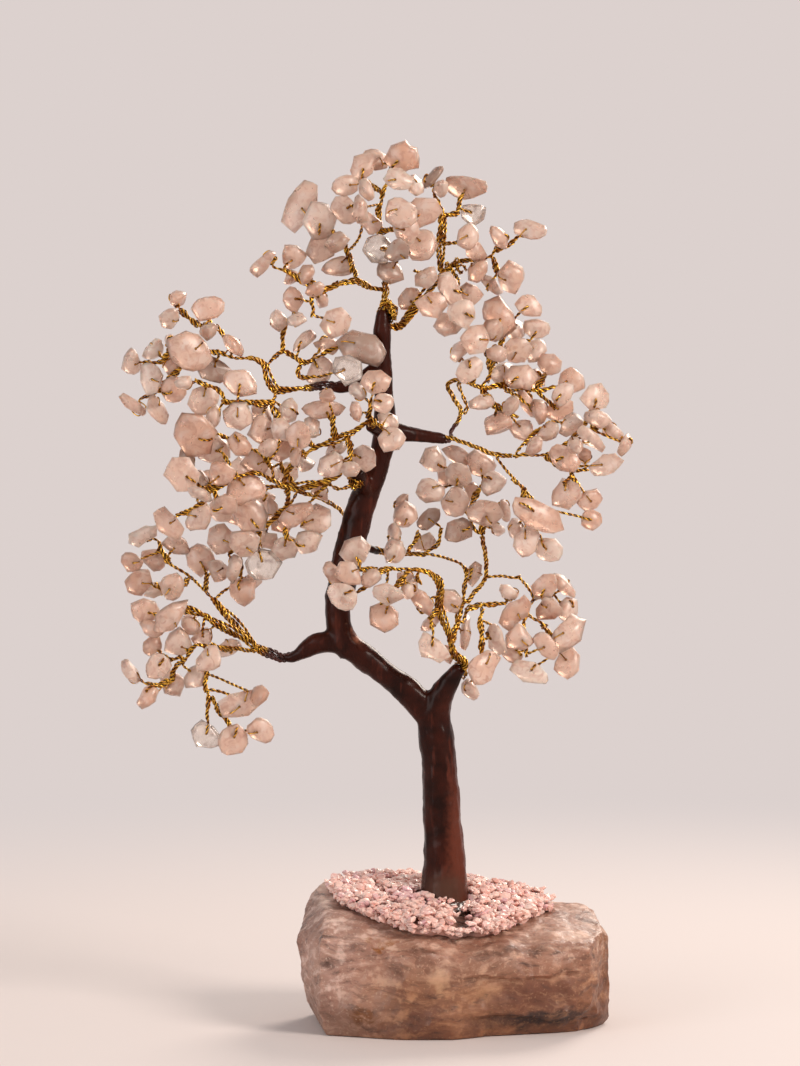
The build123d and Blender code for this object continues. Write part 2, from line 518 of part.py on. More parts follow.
upper_left_lower_chip_shares = [
    (240, 383, 36, 28, 0, -0.25), (203, 400, 34, 26, 20, -0.30), (237, 418, 24, 26, 0, -0.40),
    (288, 411, 20, 22, 0, -0.25), (262, 430, 28, 24, 0, -0.38), (282, 430, 20, 22, 0, -0.35),
    (262, 414, 18, 18, 0, -0.20), (185, 384, 18, 16, 0, -0.38), (214, 418, 22, 20, 0, -0.30),
]
front_cluster_chip_shares = [
    (376, 383, 24, 22, 0, -0.45), (358, 392, 18, 18, 0, -0.40), (356, 411, 14, 20, 0, -0.48),
    (383, 404, 22, 24, 0, -0.52), (389, 420, 22, 18, 0, -0.42), (391, 439, 28, 26, 0, -0.55),
]
front_left_chip_shares = [
    (325, 409, 44, 20, 15, -0.45), (327, 396, 16, 16, 0, -0.48), (299, 435, 26, 24, 0, -0.42),
    (296, 456, 15, 17, 0, -0.36), (364, 457, 24, 26, 0, -0.40), (331, 468, 26, 20, 0, -0.40),
    (351, 471, 18, 18, 0, -0.54), (336, 452, 14, 20, 0, -0.30), (312, 428, 20, 20, 0, -0.46),
]
mid_left_upper_chip_shares = [
    (193, 437, 36, 42, 0, -0.45), (187, 456, 20, 20, 0, -0.30), (213, 450, 26, 30, 0, -0.35),
    (182, 475, 32, 28, 0, -0.40), (221, 473, 26, 24, 0, -0.46), (203, 479, 16, 20, 0, -0.30),
    (199, 494, 24, 13, 0, -0.42), (168, 522, 32, 22, 10, -0.28), (199, 518, 32, 22, 0, -0.36),
    (224, 503, 30, 26, 0, -0.48), (245, 490, 40, 26, 10, -0.42), (256, 462, 24, 22, 0, -0.26),
    (240, 444, 24, 22, 0, -0.48), (268, 446, 22, 20, 0, -0.42), (304, 462, 20, 22, 0, -0.10),
    (283, 452, 20, 22, 0, -0.14),
]
mid_left_lower_chip_shares = [
    (248, 517, 36, 28, 0, -0.10), (222, 541, 24, 26, 0, 0.05), (245, 545, 26, 24, 0, -0.10),
    (274, 512, 16, 30, 0, -0.05), (296, 514, 20, 36, 0, -0.16), (316, 520, 26, 24, 0, 0.00),
    (308, 543, 26, 24, 0, -0.05), (284, 548, 28, 22, 0, -0.02), (320, 490, 20, 18, 0, -0.08),
    (263, 565, 32, 26, 0, 0.05), (253, 580, 20, 16, 0, 0.16), (234, 567, 15, 26, 0, 0.00),
    (243, 592, 28, 24, -25, 0.10),
]
back_left_chip_shares = [
    (262, 500, 30, 24, 0, 0.50), (236, 473, 26, 28, 0, 0.45), (284, 520, 26, 22, 0, 0.55),
    (222, 512, 24, 26, 0, 0.55), (252, 536, 24, 24, 0, 0.40), (212, 480, 26, 22, 0, 0.55),
    (288, 476, 26, 24, 0, 0.55), (272, 448, 24, 26, 0, 0.35), (292, 446, 20, 22, 0, 0.45),
    (268, 470, 24, 20, 0, 0.45), (266, 540, 24, 20, 0, 0.50), (236, 516, 22, 22, 0, 0.60),
]
lower_left_upper_chip_shares = [
    (145, 535, 30, 18, -15, 0.20), (177, 543, 24, 16, 0, 0.10), (131, 562, 26, 20, 10, 0.15),
    (154, 557, 22, 26, 0, 0.25), (140, 581, 28, 26, 0, 0.10), (172, 587, 26, 26, 0, -0.05),
    (156, 588, 12, 24, 10, 0.05), (199, 559, 28, 26, 0, 0.15), (218, 570, 16, 24, 0, 0.05),
]
lower_left_outer_chip_shares = [
    (144, 611, 28, 24, 0, -0.10), (152, 629, 26, 18, -10, -0.12), (171, 618, 22, 44, 30, -0.25),
    (152, 647, 22, 20, 0, -0.05), (180, 643, 26, 28, 0, -0.15), (203, 638, 22, 20, 0, -0.10),
    (227, 648, 16, 26, -20, -0.02), (209, 660, 20, 30, -20, -0.10), (197, 677, 22, 20, 30, -0.25),
    (157, 666, 30, 28, 0, -0.20), (173, 681, 26, 22, 0, -0.05), (132, 673, 24, 16, -35, -0.10),
    (148, 696, 28, 20, -10, -0.15), (191, 624, 18, 16, 0, -0.05),
]
lower_left_hanging_chip_shares = [
    (207, 736, 26, 28, 0, -0.20), (243, 702, 20, 38, 0, -0.24), (260, 696, 18, 22, 20, -0.30),
    (234, 741, 34, 32, 0, -0.14), (260, 731, 22, 30, 0, -0.24),
]
upper_right_chip_shares = [
    (528, 304, 28, 22, 10, 0.30), (498, 315, 34, 24, 0, 0.25), (493, 331, 20, 16, 0, 0.15),
    (537, 329, 26, 24, 0, 0.35), (475, 341, 26, 28, 15, 0.15), (459, 352, 18, 20, 0, 0.10),
    (469, 371, 24, 26, 0, 0.05), (514, 330, 20, 20, 0, 0.40), (517, 350, 26, 24, 0, 0.20),
    (535, 352, 22, 24, 0, 0.40), (497, 352, 20, 20, 0, 0.15),
]
upper_right_outer_chip_shares = [
    (521, 377, 28, 30, 0, 0.25), (503, 372, 20, 18, 0, 0.35), (481, 402, 26, 20, 0, 0.10),
    (497, 423, 18, 26, 20, 0.15), (522, 430, 26, 22, 0, 0.20), (510, 404, 20, 16, 0, 0.05),
    (528, 405, 16, 28, 0, 0.30), (549, 366, 22, 22, 0, 0.45), (571, 380, 26, 24, -20, 0.45),
    (562, 394, 26, 22, 0, 0.30), (540, 412, 18, 20, 0, 0.25), (560, 410, 30, 20, 0, 0.40),
    (535, 380, 20, 20, 0, 0.50),
]
right_outer_chip_shares = [
    (594, 397, 26, 26, 20, 0.10), (549, 431, 24, 17, 10, 0.10), (571, 424, 22, 18, 0, 0.15),
    (599, 418, 26, 18, 0, -0.05), (590, 438, 36, 18, 15, -0.05), (614, 433, 18, 22, 0, 0.05),
    (625, 443, 12, 15, 0, 0.05), (585, 455, 15, 18, 0, 0.05), (606, 465, 19, 36, -15, -0.04),
    (565, 458, 34, 24, -10, -0.15), (535, 446, 17, 16, 0, -0.08), (575, 447, 18, 16, 0, -0.15),
]
right_drop_chip_shares = [
    (537, 515, 54, 26, 32, -0.22), (516, 530, 17, 16, 0, -0.12), (526, 543, 27, 26, 0, -0.24),
    (549, 550, 25, 26, -20, -0.14), (566, 495, 30, 26, -10, -0.18), (589, 500, 22, 26, 15, -0.10),
    (590, 519, 24, 22, 0, -0.12),
]
centre_low_chip_shares = [
    (356, 554, 26, 22, 0, -0.40), (332, 573, 17, 22, 0, -0.48), (349, 573, 30, 24, 0, -0.58),
    (342, 596, 32, 26, -10, -0.54), (372, 577, 22, 20, 0, -0.56), (388, 593, 28, 22, 0, -0.52),
    (408, 590, 18, 18, 0, -0.40), (406, 577, 17, 18, 0, -0.32), (384, 617, 28, 24, 0, -0.34),
    (423, 600, 20, 26, 0, -0.34),
]
lower_right_inner_chip_shares = [
    (450, 602, 20, 26, 0, -0.05), (474, 574, 14, 20, 0, 0.20), (432, 622, 16, 26, 0, -0.20),
    (433, 649, 20, 32, 0, -0.26), (465, 635, 14, 30, -10, 0.02), (448, 656, 12, 16, 0, -0.02),
]
centre_right_chip_shares = [
    (434, 462, 26, 22, 10, 0.30), (457, 455, 30, 18, 0, 0.45), (481, 465, 22, 28, 0, 0.30),
    (458, 475, 26, 26, 0, 0.25), (430, 491, 26, 26, 0, 0.25), (455, 502, 28, 30, 0, 0.25),
    (493, 482, 28, 24, 20, 0.20), (484, 511, 32, 26, 0, 0.20), (505, 510, 15, 24, 0, 0.30),
    (457, 531, 26, 30, 0, 0.25), (497, 529, 17, 15, 0, 0.30), (470, 490, 20, 20, 0, 0.42),
    (446, 478, 18, 18, 0, 0.45),
]
back_centre_chip_shares = [
    (401, 502, 12, 18, 10, 0.40), (405, 518, 22, 24, 0, 0.35), (429, 519, 28, 20, -15, 0.40),
    (395, 535, 13, 17, 0, 0.30), (424, 544, 24, 16, 20, 0.45), (395, 554, 22, 22, 0, 0.20),
]
lower_right_outer_chip_shares = [
    (545, 587, 21, 32, 0, 0.15), (566, 587, 16, 32, 0, 0.20), (549, 607, 28, 22, -20, 0.10),
    (568, 610, 20, 22, -30, 0.20), (515, 611, 20, 34, 0, 0.00), (568, 632, 34, 24, 0, 0.05),
    (497, 638, 22, 34, -25, 0.02), (519, 637, 24, 26, 0, 0.00), (546, 646, 34, 22, -5, 0.02),
    (511, 654, 24, 20, 0, 0.12), (482, 668, 36, 28, 15, -0.06), (469, 689, 18, 24, 0, 0.00),
    (529, 671, 42, 22, -5, 0.04), (567, 662, 26, 28, -15, 0.16), (508, 592, 18, 18, 0, 0.05),
]
sprays = {
    "crown_centre": (crown_centre_wire_shares, crown_centre_chip_shares),
    "crown_left": (crown_left_wire_shares, crown_left_chip_shares),
    "crown_right": (crown_right_wire_shares, crown_right_chip_shares),
    "upper_left_outer": (upper_left_outer_wire_shares, upper_left_outer_chip_shares),
    "upper_left_inner": (upper_left_inner_wire_shares, upper_left_inner_chip_shares),
    "upper_left_lower": (upper_left_lower_wire_shares, upper_left_lower_chip_shares),
    "front_cluster": (front_cluster_wire_shares, front_cluster_chip_shares),
    "front_left": (front_left_wire_shares, front_left_chip_shares),
    "mid_left_upper": (mid_left_upper_wire_shares, mid_left_upper_chip_shares),
    "mid_left_lower": (mid_left_lower_wire_shares, mid_left_lower_chip_shares),
    "back_left": (back_left_wire_shares, back_left_chip_shares),
    "lower_left_upper": (lower_left_upper_wire_shares, lower_left_upper_chip_shares),
    "lower_left_outer": (lower_left_outer_wire_shares, lower_left_outer_chip_shares),
    "lower_left_hanging": (lower_left_hanging_wire_shares, lower_left_hanging_chip_shares),
    "upper_right": (upper_right_wire_shares, upper_right_chip_shares),
    "upper_right_outer": (upper_right_outer_wire_shares, upper_right_outer_chip_shares),
    "right_outer": (right_outer_wire_shares, right_outer_chip_shares),
    "right_drop": (right_drop_wire_shares, right_drop_chip_shares),
    "centre_low": (centre_low_wire_shares, centre_low_chip_shares),
    "lower_right_inner": (lower_right_inner_wire_shares, lower_right_inner_chip_shares),
    "centre_right": (centre_right_wire_shares, centre_right_chip_shares),
    "back_centre": (back_centre_wire_shares, back_centre_chip_shares),
    "lower_right_outer": (lower_right_outer_wire_shares, lower_right_outer_chip_shares),
}


# Wires and what they keep clear of
def nearest_on(point, start, end):
    """The point of a straight run nearest to a point, and how far along the run it lies, 0 to 1."""
    run = end - start
    along = min(max((point - start).dot(run) / run.dot(run), 0.0), 1.0)
    return start + run * along, along


def rim(centre, direction, radius):
    """Four corners of the end of a wire."""
    side = unit(np.cross(direction, [direction[1], direction[2], -direction[0]]))
    other = np.cross(direction, side)
    return [centre + radius * turned for turned in (side, other, -side, -other)]


def room_to(points, bar):
    """The least distance from some points to a round bar that may taper and may end square."""
    start, end, start_radius, end_radius, square = bar
    length = np.linalg.norm(end - start)
    rooms = []
    for point in points:
        near, along = nearest_on(point, start, end)
        beyond = (point - end).dot(end - start) / length
        if square and beyond > 0:
            beside = max(math.sqrt(max((point - end).dot(point - end) - beyond ** 2, 0)) - end_radius, 0)
            rooms.append(math.hypot(beyond, beside))
        else:
            rooms.append(np.linalg.norm(point - near) - start_radius - along * (end_radius - start_radius))
    return min(rooms)


def room_between(start, end, radius, bar):
    """The room between a straight wire and a bar, taken at points along the wire."""
    steps = max(2, round(np.linalg.norm(end - start) / sprig_radius))
    points = [start + (end - start) * i / steps for i in range(steps + 1)]
    return room_to(points, bar) - radius


def leave(place, towards, radius, bars):
    """The first point from a place inside some bars at which the end of a wire is clear of them."""
    direction = unit(towards - place)
    near = [bar for bar in bars if room_to([place], bar) < bundle_radius]
    distance = 0.0
    while any(room_to(rim(place + direction * distance, direction, radius), bar) < seat_gap
              for bar in near):
        distance += seat_gap / 2
    return place + direction * distance


stem_sides = 4
twig_sides = 3


def make_wire(points, radius, sides):
    with BuildPart() as wire:
        with BuildLine():
            Polyline(*[tuple(point) for point in points])
        with BuildSketch(Plane(origin=tuple(points[0]), z_dir=tuple(points[1] - points[0]))):
            RegularPolygon(radius, sides)
        sweep(transition=Transition.RIGHT)
    return wire.part


# Chips: each a flat six-sided pebble, broad at one face and narrow at the other. Their outlines are
# shares of half the width and height. They hang on their wires turned every way, so the breadth that
# the front view shows is a little less than their own.
chip_outline_shares = [
    [(1.00, 0.10), (0.55, 0.85), (-0.35, 1.00), (-1.00, 0.35), (-0.70, -0.80), (0.45, -1.00)],
    [(0.95, -0.35), (0.85, 0.60), (0.05, 1.00), (-0.90, 0.62), (-1.00, -0.35), (0.10, -1.00)],
    [(1.00, 0.45), (0.30, 1.00), (-0.75, 0.80), (-1.00, -0.20), (-0.35, -1.00), (0.75, -0.75)],
    [(1.00, -0.60), (0.60, 0.50), (-0.10, 1.00), (-0.80, 0.45), (-1.00, -0.55), (0.05, -1.00)],
    [(0.85, -0.80), (1.00, 0.25), (0.40, 0.95), (-0.60, 1.00), (-1.00, 0.00), (-0.40, -1.00)],
]
chip_turns = [
    (12, -30), (-14, 22), (6, 48), (-20, -52), (24, 4), (-4, -16), (10, 64), (-12, 38), (18, -42),
]
chip_breadth_share = 1.06
chip_face_share = 0.62
level_share = 0.1           # sine of the angle under which two directions count as one


class Chip:
    def __init__(self, table_row, number, shift):
        column, row, width, height, tilt, depth_share = table_row
        self.table_place = (column, row)
        width, height = (breadth * pixel * chip_breadth_share for breadth in (width, height))
        bulk_left = chip_bulk ** 3 / (width * height)
        self.thickness = min(max(bulk_left, chip_least_thickness), chip_most_thickness)
        pitch, yaw = chip_turns[number % len(chip_turns)]
        facing = Plane.XZ.rotated((pitch, yaw, tilt))
        self.across, self.up, self.out = (
            np.array(tuple(axis)) for axis in (facing.x_dir, facing.y_dir, facing.z_dir)
        )
        if number % 2:
            self.across, self.out = -self.across, -self.out
        self.centre = seen(column, row, depth_share * crown_half_depth + shift)
        shares = chip_outline_shares[number % len(chip_outline_shares)]
        outline = [(x * width / 2, y * height / 2) for x, y in shares]
        broad = [self.point(x, y, -self.thickness / 2) for x, y in outline]
        narrow = [self.point(x * chip_face_share, y * chip_face_share, self.thickness / 2)
                  for x, y in outline]
        self.points = np.array(broad + narrow)
        self.reach = max(np.linalg.norm(self.points - self.centre, axis=1))
        self.normals = [self.out, -self.out]
        for i in range(len(broad)):
            normal = unit(np.cross(broad[i] - broad[i - 1], narrow[i] - broad[i]))
            outward = normal if normal.dot(broad[i] - self.centre) > 0 else -normal
            self.normals.append(outward)
        self.extents = [max(self.points.dot(normal)) - self.centre.dot(normal) for normal in self.normals]

    def point(self, x, y, z):
        return self.centre + self.across * x + self.up * y + self.out * z

    def clear_of_chip(self, other):
        between = other.centre - self.centre
        distance = np.linalg.norm(between)
        if distance > self.reach + other.reach + chip_gap:
            return True
        for axis in [between / distance] + self.normals + other.normals:
            mine, theirs = self.points.dot(axis), other.points.dot(axis)
            if max(theirs.min() - mine.max(), mine.min() - theirs.max()) > chip_gap:
                return True
        return False

    def clear_of_bar(self, bar):
        start, end, start_radius, end_radius, _ = bar
        radius = max(start_radius, end_radius) + seat_gap
        near, _ = nearest_on(self.centre, start, end)
        between = near - self.centre
        distance = np.linalg.norm(between)
        if distance > self.reach + radius:
            return True
        for axis in [between / distance] + self.normals:
            theirs = min(start.dot(axis), end.dot(axis)) - radius
            if theirs > self.points.dot(axis).max():
                return True
        run = unit(end - start)
        for own in (self.across, self.up, self.out):
            axis = np.cross(run, own)
            length = np.linalg.norm(axis)
            if length > level_share:
                axis = axis / length
                mine, theirs = self.points.dot(axis), start.dot(axis)
                if theirs - radius > mine.max() or theirs + radius < mine.min():
                    return True
        return False

    def edge_towards(self, place):
        """Where a twig that comes from a place towards the chip's middle stops before the chip."""
        direction = unit(place - self.centre)
        stops = []
        for normal, extent in zip(self.normals, self.extents):
            facing = normal.dot(direction)
            if facing > 0:
                lean = twig_radius * math.sqrt(max(1 - facing ** 2, 0))
                stops.append((extent + seat_gap + lean) / facing)
        return self.centre + direction * min(stops)

    def solid(self):
        return make_flake(*np.split(self.points, 2))


def settle(table_row, number, chips, bars):
    """A chip moved along the line of sight, by as little as gives it room among its neighbours."""
    for step in range(2 * round(crown_half_depth / settle_step)):
        shift = (step + 1) // 2 * settle_step * (-1) ** step
        chip = Chip(table_row, number, shift)
        if all(map(chip.clear_of_chip, chips)) and all(map(chip.clear_of_bar, bars)):
            return chip
    raise ValueError(f"no room for the chip at {table_row[:2]}")


def stations_along(points):
    """Places along a wire at which a twig can split from it."""
    places = []
    for start, end in zip(points[:-1], points[1:]):
        count = max(1, round(np.linalg.norm(end - start) / station_spacing))
        places += [start + (end - start) * (i + 1) / count for i in range(count)]
    return places


def twig_route(chip, stations, chips, bars, longest):
    """The ends of a straight twig to a chip, from the nearest place that has a clear way to it."""
    around = [other for other in chips if other is not chip
              and np.linalg.norm(other.centre - chip.centre) < longest + other.reach]
    for place in sorted(stations, key=lambda station: np.linalg.norm(station - chip.centre)):
        end = chip.edge_towards(place)
        if np.linalg.norm(end - place) > longest:
            break
        way = (place, end, twig_radius, twig_radius, True)
        if not all(other.clear_of_bar(way) for other in around):
            continue
        middle, half = (place + end) / 2, np.linalg.norm(end - place) / 2
        near = [bar for bar in bars if room_to([middle], bar) < half + bundle_radius]
        start = leave(place, end, twig_radius, near)
        run = end - start
        if run.dot(end - place) <= 0 or np.linalg.norm(run) < twig_least_length:
            continue
        beyond = start + unit(run) * twig_radius
        if all(room_between(beyond, end, twig_radius, bar) > seat_gap / 2 for bar in near):
            return start, end
    return None


# Put the wires in place, then find each chip its room, then join each chip to a wire by a twig
bars = []
tips = {}
for table in limb_tables:
    stations = limb_stations(table)
    for (start, _, start_radius), (end, _, end_radius) in zip(stations[:-1], stations[1:]):
        bars.append((start, end, start_radius, end_radius, end is stations[-1][0]))
    tips[table[-1][:2]] = stations[-1]

wires = {name: [] for name in sprays}
for name, (wire_table, _) in sprays.items():
    for radius, table in wire_table:
        points = [seen(column, row, depth * crown_half_depth) for column, row, depth in table]
        if table[0][:2] in tips:
            tip, outward, _ = tips[table[0][:2]]
            lean = math.sqrt(max(1 - unit(points[1] - tip).dot(outward) ** 2, 0))
            points[0] = tip + outward * (seat_gap + radius * lean)
        else:
            points[0] = leave(points[0], points[1], radius, bars)
        wires[name].append((points, radius))
        bars += [(start, end, radius, radius, end is points[-1])
                 for start, end in zip(points[:-1], points[1:])]

chips = {name: [] for name in sprays}
placed = []
for name, (_, chip_table) in sprays.items():
    for table_row in chip_table:
        chip = settle(table_row, len(placed), placed, bars)
        placed.append(chip)
        chips[name].append(chip)

twigs = {name: [] for name in sprays}
for name in sprays:
    stations = [place for points, _ in wires[name] for place in stations_along(points)]
    for chip in chips[name]:
        route = twig_route(chip, stations, placed, bars, twig_longest)
        if route is None:
            every_station = [place for wire in wires.values() for points, _ in wire
                             for place in stations_along(points)]
            route = twig_route(chip, every_station, placed, bars, 2 * twig_longest)
        if route is None:
            raise ValueError(f"no way for a twig to the chip at {chip.table_place}")
        twigs[name].append(route)
        bars.append((*route, twig_radius, twig_radius, True))

# Make every piece and write it out
def write_piece(shape, name):
    shape.label = name
    export_step(shape, f"parts/{name}.step")


write_piece(make_stone(), "stone_base")
write_piece(make_bed(), "resin_bed")
write_piece(Compound(children=make_gravel()), "gravel")
write_piece(make_collar(), "glue_collar")
write_piece(make_core(0), "wire_core")
write_piece(make_trunk(), "trunk")

for name in sprays:
    strands = [make_wire(points, radius, stem_sides) for points, radius in wires[name]]
    strands += [make_wire(route, twig_radius, twig_sides) for route in twigs[name]]
    write_piece(Compound(children=strands), f"{name}_wires")
    write_piece(Compound(children=[chip.solid() for chip in chips[name]]), f"{name}_chips")
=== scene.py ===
import math
import random
from functools import partial

import bpy
import numpy as np
from mathutils import Matrix, Vector, noise
from mathutils.bvhtree import BVHTree


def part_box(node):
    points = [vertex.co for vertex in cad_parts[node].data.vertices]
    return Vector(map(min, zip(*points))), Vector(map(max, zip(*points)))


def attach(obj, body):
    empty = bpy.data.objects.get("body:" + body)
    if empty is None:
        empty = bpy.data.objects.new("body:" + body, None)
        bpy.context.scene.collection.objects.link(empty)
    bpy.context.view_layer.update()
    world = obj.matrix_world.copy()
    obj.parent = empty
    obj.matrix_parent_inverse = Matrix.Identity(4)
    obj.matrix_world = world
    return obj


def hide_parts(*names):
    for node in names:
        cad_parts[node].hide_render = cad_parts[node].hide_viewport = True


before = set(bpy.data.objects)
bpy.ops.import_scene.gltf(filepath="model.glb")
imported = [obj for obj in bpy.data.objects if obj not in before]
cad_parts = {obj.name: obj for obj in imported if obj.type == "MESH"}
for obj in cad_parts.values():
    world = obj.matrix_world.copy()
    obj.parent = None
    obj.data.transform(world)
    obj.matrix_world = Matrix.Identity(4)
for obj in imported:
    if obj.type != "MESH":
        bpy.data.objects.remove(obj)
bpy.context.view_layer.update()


# Base: a block of raw rose quartz, broken to size and left rough, with one flat side to stand on.
# Milky pink stone with cloudy flaws, ledges where it split, and rust stains on its right face, with painted
# shade that darkens it towards the bottom and under its lowest ledge.
def linear(hex_colour):
    """An sRGB hex colour as the linear values that Blender takes."""
    shares = [int(hex_colour[i:i + 2], 16) / 255 for i in (1, 3, 5)]
    return [s / 12.92 if s <= 0.04045 else ((s + 0.055) / 1.055) ** 2.4 for s in shares] + [1.0]


def add_node(tree, kind, inputs, **settings):
    """A node with its settings. An input is a value, a socket, or a node whose first output it takes."""
    made = tree.nodes.new("ShaderNode" + kind)
    for name, value in settings.items():
        setattr(made, name, value)
    for key, value in inputs.items():
        if isinstance(value, bpy.types.Node):
            value = value.outputs[0]
        if isinstance(value, bpy.types.NodeSocket):
            tree.links.new(value, made.inputs[key])
        else:
            made.inputs[key].default_value = value
    return made


def new_material(name):
    """An empty material, add_node for its tree, and the object coordinates that its patterns follow."""
    material = bpy.data.materials.new(name)
    material.use_nodes = True
    material.node_tree.nodes.clear()
    add = partial(add_node, material.node_tree)
    return material, add, add("TexCoord", {}).outputs["Object"]


def new_object(name, data):
    made = bpy.data.objects.new(name, data)
    bpy.context.scene.collection.objects.link(made)
    return made


def select_only(piece):
    bpy.ops.object.select_all(action="DESELECT")
    piece.select_set(True)
    bpy.context.view_layer.objects.active = piece


def copy_of(node, name):
    """A copy of a CAD node's mesh with its loose triangles merged, to be shaped further."""
    piece = new_object(name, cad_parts[node].data.copy())
    piece.data.materials.clear()
    select_only(piece)
    bpy.ops.object.mode_set(mode="EDIT")
    bpy.ops.mesh.select_all(action="SELECT")
    bpy.ops.mesh.remove_doubles(threshold=0.000002)
    bpy.ops.object.mode_set(mode="OBJECT")
    return piece


def apply_modifier(piece, kind, **settings):
    select_only(piece)
    modifier = piece.modifiers.new(kind.lower(), kind)
    for name, value in settings.items():
        setattr(modifier, name, value)
    bpy.ops.object.modifier_apply(modifier=modifier.name)


def remesh(piece, voxel):
    apply_modifier(piece, "REMESH", mode="VOXEL", voxel_size=voxel)


def relief(piece, kind, grain, height, level, weight=None):
    """Raises and sinks a surface by a cloudy or cellular pattern, all over or as far as weight says."""
    pattern = bpy.data.textures.new(f"{piece.name} {kind.lower()}", kind)
    pattern.noise_scale = grain
    group = piece.vertex_groups.new(name="relief")
    for vertex in piece.data.vertices:
        group.add([vertex.index], weight(vertex.co) if weight else 1.0, "REPLACE")
    apply_modifier(piece, "DISPLACE", texture=pattern, strength=height, mid_level=level,
                   vertex_group="relief")
    piece.vertex_groups.clear()


def finish(piece, slot, nodes, *materials):
    """Gives a piece its materials and puts it in the frame in place of the CAD nodes."""
    for material in materials:
        piece.data.materials.append(material)
    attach(piece, "root")
    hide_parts(*nodes)


def ramp_share(value, start, length):
    """A share that rises from 0 at a start to 1 a length further on."""
    return min(max((value - start) / length, 0.0), 1.0)


def off_floor(place):
    return ramp_share(place.z, 0.0004, 0.003)


# Each level split in the stone: its height, its slope to the right, and how far the stone steps back
splits = [(0.0250, 0.05, 0.0008), (0.0178, 0.02, 0.0014), (0.0078, -0.06, 0.0016)]
split_wander = 0.0016           # by which a split strays from its level


def ledges(place):
    """How far the front's right half is set back below the splits."""
    across_share, front_share = ramp_share(place.x, 0.002, 0.010), ramp_share(-place.y, 0.010, 0.008)
    back = 0.0
    for height, slope, depth in splits:
        split = height + slope * place.x + split_wander * noise.noise(place * 130)
        back += depth * ramp_share(split, place.z, 0.0010)
    return across_share * front_share * back


fine_voxel = 0.0006
stone = copy_of("stone_base", "rough_stone")
remesh(stone, 0.0015)
relief(stone, "CLOUDS", grain=0.013, height=0.0040, level=0.62, weight=off_floor)
apply_modifier(stone, "DECIMATE", ratio=0.035)
remesh(stone, fine_voxel)
for vertex in stone.data.vertices:
    vertex.co.y += ledges(vertex.co)
for kind, grain in (("CLOUDS", 0.0045), ("VORONOI", 0.0022)):
    relief(stone, kind, grain, height=0.0006, level=0.55, weight=off_floor)
apply_modifier(stone, "DECIMATE", ratio=0.25)

# The front view, in metres and in its own pixels
view_distance = 1.4             # from the eye to the trunk
pixel = 0.00029                 # width of the tree that a pixel shows
view_tilt = math.radians(4)     # by which the view looks down
focal = view_distance / pixel   # in pixels
picture_width = 800
middle_column, middle_row = 400, 533
foot_pixel = (445, 908)
stone_height = 0.0338           # where the trunk stands on it


def sight(column, row):
    """How far across and up a pixel's line of sight goes for each unit of depth."""
    up = middle_row - row
    ahead = focal * math.cos(view_tilt) + up * math.sin(view_tilt)
    above = up * math.cos(view_tilt) - focal * math.sin(view_tilt)
    return (column - middle_column) / ahead, above / ahead


foot_across, foot_up = sight(*foot_pixel)
eye = Vector((-foot_across * view_distance, -view_distance, stone_height - foot_up * view_distance))


def seen(column, row, depth):
    """The point that the front view shows at a pixel, at a depth behind the trunk."""
    across, up = sight(column, row)
    run = view_distance + depth
    return eye + Vector((across * run, run, up * run))


def blotch(add, place, centre, size, grain):
    """A mask that is 1 in the middle of an oval region and falls to 0 at its ragged edge."""
    ragged = add("TexNoise", {"Vector": place, "Scale": 1 / grain, "Detail": 4.0})
    moved = add("VectorMath", {0: ragged.outputs["Color"], 1: (0.5, 0.5, 0.5)}, operation="SUBTRACT")
    spread = add("VectorMath", {0: moved, 1: [2.5 * grain] * 3, 2: place}, operation="MULTIPLY_ADD")
    near = add("VectorMath", {0: spread, 1: tuple(centre)}, operation="SUBTRACT")
    oval = add("VectorMath", {0: near, 1: size}, operation="DIVIDE")
    length = add("VectorMath", {0: oval}, operation="LENGTH").outputs["Value"]
    return add("MapRange", {0: length, 1: 1.25, 2: 0.25}, interpolation_type="SMOOTHSTEP")


def laid_over(add, colour, *layers):
    """A colour with others laid over it, each where its pattern rises from a low to a high level."""
    for over, pattern, *levels in layers:
        low, high = levels or (0.0, 1.0)
        share = add("MapRange", {0: pattern, 1: low, 2: high})
        under, over = [linear(tone) if isinstance(tone, str) else tone for tone in (colour, over)]
        colour = add("Mix", {0: share, 6: under, 7: over}, data_type="RGBA").outputs[2]
    return colour


# Raw rose quartz, fractured: cloudy pink body, waxy gloss, light that soaks a few millimetres in.
# A pattern's scale is the number of its grains in a metre: clouds of 17 mm, flaws of 4, sheets of 11,
# fibres of 4, sugar of 0.8 and grit of 1.4 mm.
raw_quartz, add, place = new_material("raw rose quartz")
clouds = add("TexNoise", {"Vector": place, "Scale": 60.0, "Detail": 6.0})
flaws = add("TexNoise", {"Vector": place, "Scale": 240.0, "Detail": 5.0})
drift = 0.012                   # by which the clouds bend sheets, fibres, stain and the painted shade towards the bottom
warped = add("VectorMath", {0: clouds.outputs["Color"], 1: [drift] * 3, 2: place}, operation="MULTIPLY_ADD")
sheets = add("TexVoronoi", {"Vector": warped, "Scale": 90.0})
sheet = add("SeparateXYZ", {0: sheets.outputs["Color"]})
across, _, up = add("SeparateXYZ", {0: place}).outputs
stain = add("Math", {0: clouds, 1: drift, 2: across}, operation="MULTIPLY_ADD")
colour = laid_over(add, "#936A5A", ("#B28979", clouds, 0.35, 0.65), ("#DBBAAC", flaws, 0.55, 0.66),
                   ("#E0BFAD", sheet, 0.40, 3.6), ("#4E3226", sheet.outputs[1], 0.50, 3.0),
                   ("#8A5A34", stain, 0.046, 0.052))
patch_grain = 0.004
